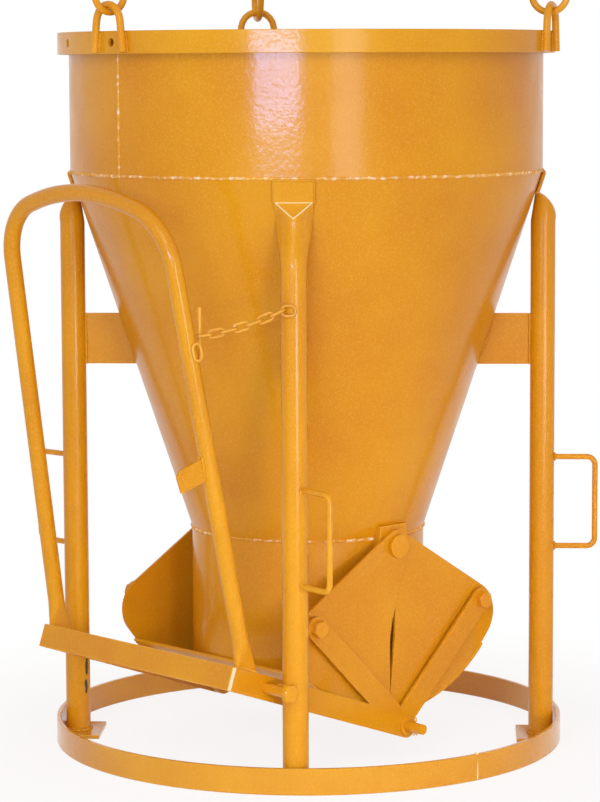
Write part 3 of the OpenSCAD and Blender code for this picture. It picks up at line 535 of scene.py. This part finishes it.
# Long seams are painted paler and broken into pale dashes of specks: painted highlights of the weld ripples
seam_highlight_paint = sprayed_enamel("enamel with painted seam highlights", "#E8AE40", "#D68C18", 0.3,
                            speck_glint="#FBE6C2", speck_glint_share=0.8, grain=0.011)
cone_outline = [(outlet_in, outlet_z), (outlet_r, outlet_z), (cylinder_r, joint_z), (wall_r, joint_z)]
fit(placed("cone_shell", turned(cone_outline, shell_edge, 256), sheet_paint, sheet_paint), "frame", "hopper_cone")
wall_outline = [(wall_r, joint_z), (cylinder_r, joint_z), (cylinder_r, rim_z), (wall_r, rim_z)]
fit(placed("cylinder_shell", turned(wall_outline, shell_edge, 256), sheet_paint, edge_highlight_paint),
    "frame", "hopper_cylinder")
seam_out, _ = rays(269)
upright = [seam_out * (cylinder_r - 0.0005) + high(z) for z in (joint_z, 1.24, 1.35)]
weld("hopper_welds", "frame", [hoop(cylinder_r - 0.0008, joint_z, 0, 360, 240),
                               hoop(outlet_r, outlet_z, 0, 360, 160), upright], 0.0068, 7, seam_highlight_paint)


# Rim: angle bar rolled to a ring and welded on the cylinder, its flange hanging down outside.
# It is drilled twice by the front lug.
rim_r, rim_h, rim_t, rim_edge, hole_d, drill_l = 0.482, 0.042, 0.006, 0.0009, 0.016, 0.03
rim_in = cylinder_r + 0.0001
# The rolled angle faces the light and is painted a little lighter than the sheet for it, as painted light: a warm even
# yellow
rim_lit_paint = sprayed_enamel("enamel on rim", "#DA9A0C", "#D28C0A")
rim_outline = [(rim_r, rim_z - rim_h), (rim_r, rim_z), (rim_in, rim_z), (rim_in, rim_z - rim_t),
               (rim_r - rim_t, rim_z - rim_t), (rim_r - rim_t, rim_z - rim_h)]
rim = placed("rim_source", turned(rim_outline, rim_edge, 256), rim_lit_paint, edge_highlight_paint)
bits = []
for angle in (270, 249.2):
    out, _ = rays(angle)
    drill = bmesh.new()
    bmesh.ops.create_cone(drill, cap_ends=True, segments=40, radius1=hole_d / 2, radius2=hole_d / 2, depth=drill_l)
    bmesh.ops.transform(drill, matrix=Matrix.Translation(out * rim_r + high(rim_z - rim_h / 2))
                        @ Vector((0, 0, 1)).rotation_difference(out).to_matrix().to_4x4(), verts=drill.verts)
    cutter = bpy.data.meshes.new("drill")
    drill.to_mesh(cutter)
    drill.free()
    bits.append(bpy.data.objects.new("drill", cutter))
    bpy.context.collection.objects.link(bits[-1])
    hole = rim.modifiers.new("hole", "BOOLEAN")
    hole.object, hole.operation, hole.solver = bits[-1], "DIFFERENCE", "EXACT"
drilled = bpy.data.meshes.new_from_object(rim.evaluated_get(bpy.context.evaluated_depsgraph_get()))
for source in (*bits, rim):
    bpy.data.objects.remove(source)
fit(placed("rim_angle_ring", drilled), "frame", "rim_ring")


# Lifting lugs: 14 mm round steel bar bent to a bow, its legs spread a little and welded on the rim's flange.
# The slings hang in them.
lug_d, lug_w, crown_r = 0.014, 0.084, 0.035
lug_angles = {"front": 270, "right": 30, "left": 150}
lug_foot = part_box("lug_front")[0][2]
lug_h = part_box("lug_front")[1][2] - lug_d / 2 - lug_foot
spread = math.acos(crown_r / math.hypot(lug_w / 2, lug_h - crown_r)) - math.atan2(lug_h - crown_r, lug_w / 2)
at_rim = lug_w / 2 - (rim_h - 0.004) * math.tan(spread)
lug_r = math.sqrt((rim_r + lug_d / 2 + 0.0001) ** 2 - at_rim ** 2)
lug_seams = []
for name, angle in lug_angles.items():
    out, side = rays(angle)
    foot = out * lug_r + high(lug_foot)
    apex = foot + high(lug_w / 2 / math.tan(spread))
    points = [foot - side * lug_w / 2, apex, foot + side * lug_w / 2]
    fit(bent_bar("lug_bow_" + name, [points], lug_d, 24, rod_paint, crown_r), "frame", "lug_" + name)
    for hand in (-1, 1):
        for flank in (-1, 1):
            run = []
            for z in (0.002, 0.012, 0.024, 0.034):
                across = hand * (lug_w / 2 - z * math.tan(spread)) + flank * (lug_d / 2 - tuck)
                run.append((side * across + out * lug_r).normalized() * (rim_r + 0.0012) + high(lug_foot + z))
            lug_seams.append(run)
weld("lug_welds", "frame", lug_seams, 0.006, 8)


# Lifting links: closed oblong links of 13 mm steel bar, hung in the lugs and leaning to the middle
# as a sling holds them.
def oblong(in_length, in_width, bar, steps=14):
    """Closed path of a link's bar: two half rounds joined by straights, long along X."""
    bow_r, straight = (in_width + bar) / 2, (in_length - in_width) / 2
    points = []
    for hand in (1, -1):
        for k in range(steps + 1):
            turn = -math.pi / 2 + math.pi * k / steps
            points.append(Vector((hand * (straight + bow_r * math.cos(turn)), 0, hand * bow_r * math.sin(turn))))
    return points + [points[0]]


link_d, link_l, link_w, link_lean, slack = 0.013, 0.11, 0.056, math.radians(10), 0.0004
for name, angle in lug_angles.items():
    hang = (Matrix.Rotation(math.radians(angle), 4, "Z") @ Matrix.Translation((lug_r, 0, lug_foot + lug_h))
            @ Matrix.Rotation(-link_lean, 4, "Y") @ Matrix.Translation((0, 0, link_l / 2 - lug_d / 2 - slack))
            @ Matrix.Rotation(math.pi / 2, 4, "Y"))
    loop = [hang @ p for p in oblong(link_l, link_w, link_d)]
    fit(bent_bar("sling_link_" + name, [loop], link_d, 20, rod_paint), "lifting_link_" + name, "lifting_link_" + name)


# Pivot blocks and pins: a bored steel block welded on each side of the outlet, and a headed steel pin in it
# that both jaws turn on.
eased("pivot_blocks_painted", "frame", ["pivot_blocks"], 0.0015, plate_paint, edge_highlight_paint)
eased("pivot_pins_painted", "frame", ["gate_pivot_pins"], 0.0015, rod_paint, edge_highlight_paint)


# Jaws: each has a rolled closing plate welded between two flame-cut steel side plates. The front jaw's sides
# lie outside the rear jaw's, and both turn on the pivot pins.
# Plate near the concrete is the dullest
gate_paint = sprayed_enamel("enamel on gate plate", "#D9940A", "#D0870A", 0.33)
for jaw in ("rear", "front"):
    eased(jaw + "_closing_plate", jaw + "_jaw", [jaw + "_jaw_plate"], 0.001, gate_paint, edge_highlight_paint)
    for hand in ("right", "left"):
        eased(f"{jaw}_side_plate_{hand}", jaw + "_jaw", [f"{jaw}_jaw_side_{hand}"], 0.0009, gate_paint, edge_highlight_paint)


# Link bolts: 20 mm hexagon bolts, 30 mm across flats, one for each link on its side plate, with a round shoulder
# under the link. They were sprayed over with the rest.
def hex_bolt(width, thick, steps):
    """Bolt along +Z: chamfered hexagon head above zero, then round steps of (radius, length) down from it."""
    shape = bmesh.new()
    count = 48
    turns = [2 * math.pi * k / count for k in range(count)]
    flat_r, cap_r = width / 2, width / 2 * 0.94
    corner = [flat_r / math.cos((t + math.pi / 6) % (math.pi / 3) - math.pi / 6) for t in turns]
    levels = [[(cap_r, thick)] * count,
              [(r, thick - (r - cap_r) * math.tan(math.radians(30))) for r in corner], [(r, 0.0) for r in corner]]
    depth = 0.0
    for radius, length in steps:
        levels.append([(radius, depth)] * count)
        depth -= length
        levels.append([(radius, depth)] * count)
    rings = [[shape.verts.new((r * math.cos(t), r * math.sin(t), z)) for t, (r, z) in zip(turns, level)]
             for level in levels]
    for ring, following in zip(rings, rings[1:]):
        for k in range(count):
            j = (k + 1) % count
            shape.faces.new((ring[k], ring[j], following[j], following[k]))
    shape.faces.new(rings[0])
    shape.faces.new(rings[-1])
    return finished(shape, "bolt")


bolt_tree, given = new_tree("bolts", {"Bolt": "Object", "Paint": "Material"})
pattern = add(bolt_tree, "GeometryNodeObjectInfo", {"Object": given["Bolt"]}, transform_space="ORIGINAL")
axis = add(bolt_tree, "GeometryNodeInputNamedAttribute", {"Name": "axis"}, data_type="FLOAT_VECTOR")
spin = add(bolt_tree, "GeometryNodeInputNamedAttribute", {"Name": "spin"}, data_type="FLOAT_VECTOR")
aim = add(bolt_tree, "FunctionNodeAlignRotationToVector", {"Vector": axis.outputs[0]}, axis="Z")
twist = add(bolt_tree, "FunctionNodeAlignRotationToVector", {"Rotation": aim.outputs[0], "Vector": spin.outputs[0]},
            axis="X", pivot_axis="Z")
set_in = add(bolt_tree, "GeometryNodeInstanceOnPoints", {
    "Points": given["Geometry"], "Instance": pattern.outputs["Geometry"], "Rotation": twist.outputs[0]})
solid = add(bolt_tree, "GeometryNodeRealizeInstances", {"Geometry": set_in.outputs[0]})
painted = add(bolt_tree, "GeometryNodeSetMaterial", {"Geometry": solid.outputs[0], "Material": given["Paint"]})
add(bolt_tree, "NodeGroupOutput", {"Geometry": painted.outputs[0]})


def bolts(name, body, node, bolt_mesh, places):
    """Like bolts at (place, axis, turn in degrees) as one piece of a body."""
    pattern = bpy.data.objects.new(name + "_pattern", bolt_mesh)
    bpy.context.collection.objects.link(pattern)
    points = bpy.data.meshes.new(name + "_points")
    points.from_pydata([place for place, _, _ in places], [], [])
    spins = [(0.0, math.cos(math.radians(turn)), math.sin(math.radians(turn))) for _, _, turn in places]
    for label, vectors in (("axis", [axis for _, axis, _ in places]), ("spin", spins)):
        attribute = points.attributes.new(label, "FLOAT_VECTOR", "POINT")
        attribute.data.foreach_set("vector", [part for vector in vectors for part in vector])
    piece = made_by(bolt_tree, name, points, {"Bolt": pattern, "Paint": rod_paint}, sharp=20)
    bpy.data.objects.remove(pattern)
    fit(piece, body, node)


link_y, link_pin_z, bolt_r, bolt_w, bolt_head = 0.222, 0.28, 0.01, 0.03, 0.0125
side_t, gap, bar_t, least_step = 0.005, 0.0004, 0.008, 0.0005
rear_side_x, front_side_x = 0.246, 0.2514
rear_link_x, front_link_x = 0.2568, 0.2652
for jaw, side_x, link_x, y, turn in (("rear", rear_side_x, rear_link_x, link_y, 12),
                                     ("front", front_side_x, front_link_x, -link_y, 40)):
    head_x = link_x + bar_t + gap / 2
    shank = [(bolt_r, head_x - link_x + gap / 2), (bolt_w / 2, link_x - gap / 2 - side_x - side_t), (bolt_r, side_t)]
    shank = [part for part in shank if part[1] > least_step]
    bolts(jaw + "_link_bolts_painted", jaw + "_jaw", jaw + "_link_bolts", hex_bolt(bolt_w, bolt_head, shank),
          [((hand * head_x, y, link_pin_z), (hand, 0, 0), turn) for hand in (1, -1)])


# Links: 45 x 8 mm steel flat bars with round ends, from the jaws' bolts down to the toggle pins on the lever.
# Each pair moves as one.
for jaw in ("rear", "front"):
    eased(jaw + "_link_bars", jaw + "_links", [jaw + "_link_right", jaw + "_link_left"], 0.0011, gate_paint, edge_highlight_paint)


# Lever pivots: 20 mm hexagon bolts welded along the front of the two front legs, with a nut inside each arm.
# The lever turns on them.
arm_x, arm_t, lever_y, lever_z, nut_t, head_out = 0.2736, 0.01, 0.36047, 0.19, 0.01, 0.058
head_x = arm_x + arm_t + head_out
lever_bolt = hex_bolt(bolt_w, bolt_head, [(bolt_r, head_x - arm_x + gap + nut_t - 0.0002)])
bolts("lever_bolts_painted", "frame", "lever_pivot_bolts", lever_bolt,
      [((hand * head_x, -lever_y, lever_z), (hand, 0, 0), 20) for hand in (1, -1)])
bolts("lever_nuts_painted", "frame", "lever_pivot_nuts", hex_bolt(bolt_w, nut_t, [(bolt_r, 0.0001)]),
      [((hand * (arm_x - gap), -lever_y, lever_z), (-hand, 0, 0), 8) for hand in (1, -1)])
bolt_seams = [[(hand * x, -lever_y + 0.0085, lever_z + up * (bolt_r - tuck)) for x in (0.31, 0.326, 0.34)]
              for hand in (1, -1) for up in (-1, 1)]
weld("lever_bolt_welds", "frame", bolt_seams, 0.007, 9)


# Lever arms and cross bar: 45 x 10 mm steel flat bars on edge. The cross bar closes the operator's end,
# and its sawn ends are painted bright as a highlight.
arm_w, toggle_z, arm_past, arm_edge = 0.045, 0.063, 0.0818, 0.0012
for hand in ("right", "left"):
    eased("lever_bar_" + hand, "lever", ["lever_arm_" + hand], arm_edge, plate_paint, edge_highlight_paint)
cross_bar = eased("cross_bar_painted", "lever", ["lever_cross_bar"], arm_edge, plate_paint, edge_highlight_paint)
# The sawn ends are painted pale and dull with white specks: a painted highlight on the end faces
end_highlight_paint = sprayed_enamel("enamel with painted end highlight", "#F4E6CC", "#E8CE9C", 0.4, speck_glint="#FFFFFF")
cross_bar.data.materials.append(end_highlight_paint)
for face in cross_bar.data.polygons:
    if abs(face.normal.x) > 0.95:
        face.material_index = 2
arm_pitch = math.atan2(lever_z - toggle_z, lever_y)
arm_l = math.hypot(lever_y, lever_z - toggle_z) + arm_past
arm_frame = Matrix.Translation((0, 0, toggle_z)) @ Matrix.Rotation(-arm_pitch, 4, "X")
arm_mid = arm_x + arm_t / 2
arm_seams = [[arm_frame @ Vector((hand * (arm_x - tuck), -arm_l + tuck, z))
              for z in (-arm_w / 2 + 0.002, 0, arm_w / 2 - 0.002)] for hand in (1, -1)]
weld("cross_bar_welds", "lever", arm_seams, 0.006, 10)


# Handle: 32 mm steel tube bent at two shoulders, with a slightly arched top. Its two feet are pressed flat and
# welded on the arms' upper edges.
tube_d, flat_t, foot_neck, handle_h, handle_lean = 0.032, 0.008, 0.062, 0.879, math.radians(9.9)
bend_r, top_r, shoulder_in, shoulder_run, tube_sides = 0.121, 0.493, 0.037, 0.02, 40
handle_foot = arm_l - math.pi * tube_d / 4
handle_frame = (arm_frame @ Matrix.Translation((0, -handle_foot, arm_w / 2))
                @ Matrix.Rotation(arm_pitch + handle_lean, 4, "X"))
shoulder_x = arm_mid - shoulder_in - bend_r
arch = math.asin(shoulder_x / math.hypot(top_r - bend_r, shoulder_run)) - math.atan2(shoulder_run, top_r - bend_r)
shoulder_z = handle_h - top_r + (top_r - bend_r) * math.cos(arch) - shoulder_run * math.sin(arch)
tau = (math.acos(bend_r / math.hypot(shoulder_in + bend_r, shoulder_z))
       - math.atan2(shoulder_z, shoulder_in + bend_r))
leg_run = math.hypot(arm_mid - shoulder_x - bend_r * math.cos(tau), shoulder_z + bend_r * math.sin(tau))
half_path = []
for along_leg in ([foot_neck * k / 10 for k in range(11)]
                  + [foot_neck + (leg_run - foot_neck) * k / 6 for k in range(1, 7)]):
    press = eased_in(min(along_leg / foot_neck, 1.0))
    half_path.append((Vector((arm_mid - along_leg * math.sin(tau), 0, along_leg * math.cos(tau))),
                      Vector((math.cos(tau), 0, math.sin(tau))), flat_t + (tube_d - flat_t) * press))
for radius, x, z, start, end, first, last in (
        (bend_r, shoulder_x, shoulder_z, tau, math.pi / 2 - arch, 1, 18),
        (top_r, 0, handle_h - top_r, math.pi / 2 - arch, math.pi / 2, 0, 8)):
    for k in range(first, last + 1):
        turn = start + (end - start) * k / last
        square = Vector((math.cos(turn), 0, math.sin(turn)))
        half_path.append((Vector((x, 0, z)) + square * radius, square, tube_d))
other_half = [(Vector((-p.x, 0, p.z)), Vector((-n.x, 0, n.z)), t) for p, n, t in reversed(half_path[:-1])]
turn_only = handle_frame.to_3x3()
wide = turn_only @ Vector((0, 1, 0))
stations = [(handle_frame @ p, turn_only @ n, wide, t) for p, n, t in half_path + other_half]
# Hands keep the handle clean: an even coat with a soft streak of shine
handle_paint = sprayed_enamel("enamel on handle tube", "#D9950A", "#D0880A", 0.3)
handle = pressed_tube("handle_tube", tube_d, stations, handle_paint, sides=tube_sides)
# The feet are cut along the arms' upper edges, and the next rings are moved up out of the cut
arm_top = arm_frame.to_3x3() @ Vector((0, 0, 1))
on_arm = arm_frame @ Vector((0, 0, arm_w / 2 + 0.0001))
count, row_step = len(handle.data.vertices), 0.0012
for hand in (1, -1):
    up_leg = turn_only @ Vector((-hand * math.sin(tau), 0, math.cos(tau)))
    for row in range(5):
        start = tube_sides * row if hand == 1 else count - tube_sides * (row + 1)
        for vertex in handle.data.vertices[start:start + tube_sides]:
            short = (on_arm - vertex.co).dot(arm_top) / up_leg.dot(arm_top) + row_step * row
            if row == 0 or short > 0:
                vertex.co += up_leg * short
fit(handle, "lever", "lever_handle")
foot_side = flat_t / 2 + 0.0005
foot_seams = [[arm_frame @ Vector((hand * arm_mid + flank * foot_side, -handle_foot + y, arm_w / 2 + 0.0015))
               for y in (-0.021, 0, 0.021)] for hand in (1, -1) for flank in (-1, 1)]
weld("handle_foot_welds", "lever", foot_seams, 0.006, 11)


# Catch plate: small steel tab welded on the operator's side of the right tube, where the lever's lock is hooked
# on the road.
catch_h, catch_t = 0.385, 0.008
eased("catch_tab", "lever", ["catch_plate"], 0.001, plate_paint, edge_highlight_paint)
on_tube = handle_frame @ Matrix.Translation((arm_mid, 0, 0)) @ Matrix.Rotation(-tau, 4, "Y")
catch_seams = [[on_tube @ Vector((flank * (catch_t / 2 + 0.0005), -tube_d / 2 - 0.0005, catch_h + z + 0.003))
                for z in (-0.018, 0, 0.018)] for flank in (-1, 1)]
weld("catch_welds", "lever", catch_seams, 0.005, 12)


# Toggle pins: 20 mm round steel pins in the arms through the links' lower eyes, kept by a washer and a split pin
# outside. The split pins are bent from soft wire.
toggle_d, toggle_out, split_d = 0.02, 0.043, 0.0024
eased("toggle_pins_painted", "lever", ["toggle_pins"], 0.001, rod_paint, edge_highlight_paint)
eased("toggle_washers_painted", "lever", ["toggle_washers"], 0.0006, plate_paint, edge_highlight_paint)
split_x = arm_x + arm_t + toggle_out / 2
split_legs = ((0.0016, 0.004, -0.0145), (0.0013, 0.0005, -0.0115), (0.0012, 0, 0.009))
split_paths = []
for hand in (1, -1):
    x = hand * split_x
    eye = [(x + 0.0035 * math.sin(t), 0, toggle_z + toggle_d / 2 + 0.0062 - 0.0042 * math.cos(t))
           for t in (math.radians(25 + 310 * k / 12) for k in range(13))]
    split_paths.append([(x + across, y, toggle_z + z) for across, y, z in split_legs] + eye
                       + [(x - across, -y, toggle_z + z) for across, y, z in reversed(split_legs)])
fit(bent_bar("split_pins", split_paths, split_d, 10, rod_paint), "lever", "toggle_split_pins")


# Safety chain: seven links of 4.5 mm steel wire from an eye on the right front leg, with a toggle bar that stands
# beside the handle's right tube, near its eye. All of it was sprayed in place, and the coats thicken the wire.
wire_d, drawn_d, link_in_w, link_in_l = 0.0045, 0.0056, 0.009, 0.023537
chain_yaw = math.radians(-126.8)
# Each link's middle and its dip in degrees, from the leg's eye to the toggle bar
chain_places = [
    ((0.3257, -0.36565, 0.88398), -25.313), ((0.31297, -0.38266, 0.8746), -22.313),
    ((0.29997, -0.40005, 0.86635), -19.313), ((0.28672, -0.41776, 0.85924), -16.313),
    ((0.27327, -0.43574, 0.8533), -13.313), ((0.25965, -0.45395, 0.84855), -10.313),
    ((0.2459, -0.47233, 0.84499), -7.313)]
# Thick paint on thin wire, painted pale also as a painted highlight on the thin links: a soft-edged yellow
chain_paint_and_highlight = sprayed_enamel("enamel on chain", "#E8AE3A", "#D8942A", 0.32)
loops = []
for number, (place, dip) in enumerate(chain_places):
    lie = (Matrix.Translation(place) @ Matrix.Rotation(chain_yaw, 4, "Z") @ Matrix.Rotation(-math.radians(dip), 4, "Y")
           @ Matrix.Rotation(math.pi / 2 if number % 2 == 0 else 0, 4, "X"))
    loops.append([lie @ p for p in oblong(link_in_l, link_in_w, wire_d, 10)])
fit(bent_bar("chain_loops", loops, drawn_d, 12, chain_paint_and_highlight), "safety_chain", "chain_links")
eased("toggle_bar_painted", "safety_chain", ["chain_toggle_bar"], 0.0012, chain_paint_and_highlight, edge_highlight_paint)
eye_frame = (Matrix.Rotation(math.radians(leg_angles["front_right"]), 4, "Z")
             @ Matrix.Translation((0.48785, -0.0085, 0.88732)) @ Matrix.Rotation(math.pi / 2, 4, "Z"))
eye_loop = [eye_frame @ p for p in oblong(0.021, 0.014, wire_d, 12)]
fit(bent_bar("leg_eye", [eye_loop], drawn_d, 12, chain_paint_and_highlight), "frame", "chain_leg_eye")
eye_frame = (on_tube @ Matrix.Translation((tube_d / 2 + 0.0001 + wire_d / 2, 0.004, 0.596))
             @ Matrix.Rotation(math.pi / 2, 4, "Z") @ Matrix.Rotation(math.pi / 2, 4, "Y"))
eye_loop = [eye_frame @ p for p in oblong(0.026, 0.014, wire_d, 12)]
fit(bent_bar("tube_eye", [eye_loop], drawn_d, 12, chain_paint_and_highlight), "lever", "handle_eye")


# Stage: a pale floor that fades to the white of the studio, a large soft lamp high on the left, a low wide cool one
# for the patch of shine on the cylinder, an upright one on the right for the streaks on the tubes, and a weak one
# with a narrow beam for the gate.
floor_half = 30
floor_mesh = bpy.data.meshes.new("floor")
floor_mesh.from_pydata([(x * floor_half, y * floor_half, 0) for x, y in ((-1, -1), (1, -1), (1, 1), (-1, 1))],
                       [], [(0, 1, 2, 3)])


def seen_rays(tree):
    """1 for the rays that see a surface by eye, mirror or glass, 0 for those that only light it."""
    ray = add(tree, "ShaderNodeLightPath").outputs
    seen = add(tree, "ShaderNodeMath", {0: ray["Is Camera Ray"], 1: ray["Is Glossy Ray"]}, operation="MAXIMUM")
    return add(tree, "ShaderNodeMath", {0: seen.outputs[0], 1: ray["Is Transmission Ray"]},
               operation="MAXIMUM").outputs[0]


# Matt white studio floor: only a faint shadow is left of it
floor_paint = bpy.data.materials.new("pale studio floor")
floor_paint.use_nodes = True
tree = floor_paint.node_tree
tree.nodes.clear()
place = add(tree, "ShaderNodeTexCoord").outputs["Object"]
far = add(tree, "ShaderNodeVectorMath", {0: place}, operation="LENGTH")
fade = add(tree, "ShaderNodeMapRange", {"Value": far.outputs["Value"], "From Min": 0.45, "From Max": 1.3},
           interpolation_type="SMOOTHSTEP")
# Under the object 15 % of the floor's own shade is kept, and none from 1.3 m out
pale = add(tree, "ShaderNodeMapRange", {"Value": fade.outputs[0], "To Min": 0.85, "To Max": 1.0})
white = add(tree, "ShaderNodeMath", {0: seen_rays(tree), 1: pale.outputs[0]}, operation="MULTIPLY")
matt = add(tree, "ShaderNodeBsdfPrincipled", {"Base Color": linear("#F6F5F2"), "Roughness": 0.9,
                                              "Specular IOR Level": 0.1})
glow = add(tree, "ShaderNodeEmission", {"Color": (1, 1, 1, 1), "Strength": 1.0})
mixed = add(tree, "ShaderNodeMixShader", {0: white.outputs[0], 1: matt.outputs[0], 2: glow.outputs[0]})
add(tree, "ShaderNodeOutputMaterial", {"Surface": mixed.outputs[0]})
floor = placed("floor", floor_mesh, floor_paint)

world = bpy.data.worlds.new("white studio")
world.use_nodes = True
bpy.context.scene.world = world
tree = world.node_tree
tree.nodes.clear()
# The fill light is a little warm, and what is seen of the studio stays white
seen = seen_rays(tree)
level = add(tree, "ShaderNodeMapRange", {"Value": seen, "To Min": 0.66, "To Max": 1.0})
tint = add(tree, "ShaderNodeMix", {0: seen, 6: linear("#FFE8D0"), 7: (1, 1, 1, 1)}, data_type="RGBA")
sky = add(tree, "ShaderNodeBackground", {"Color": tint.outputs[2], "Strength": level.outputs[0]})
add(tree, "ShaderNodeOutputWorld", {"Surface": sky.outputs[0]})

for name, angle, height, distance, width, tall, power, colour, aim_z, beam in (
        ("soft_box", 304, 3.3, 4.2, 2.4, 1.6, 39, "#F6FFE6", 0.8, 180),
        ("shine_box", 305, 1.31, 4.2, 1.5, 0.14, 66, "#98BCFF", 0.8, 180),
        ("strip", 336, 0.95, 4.3, 1.0, 1.8, 34, "#F0F2FF", 0.8, 180),
        ("low_box", 343, 0.4, 4.4, 1.6, 0.5, 1.3, "#FFFFFF", 0.25, 26)):
    lamp = bpy.data.objects.new(name, bpy.data.lights.new(name, "AREA"))
    lamp.data.shape = "RECTANGLE"
    lamp.data.size, lamp.data.size_y = width, tall
    lamp.data.energy, lamp.data.color, lamp.data.spread = power, linear(colour)[:3], math.radians(beam)
    spot = rays(angle)[0] * distance + high(height)
    lamp.matrix_world = (Matrix.Translation(spot)
                         @ (high(aim_z) - spot).to_track_quat("-Z", "Y").to_matrix().to_4x4())
    bpy.context.collection.objects.link(lamp)
bpy.context.scene.view_settings.view_transform = "Standard"
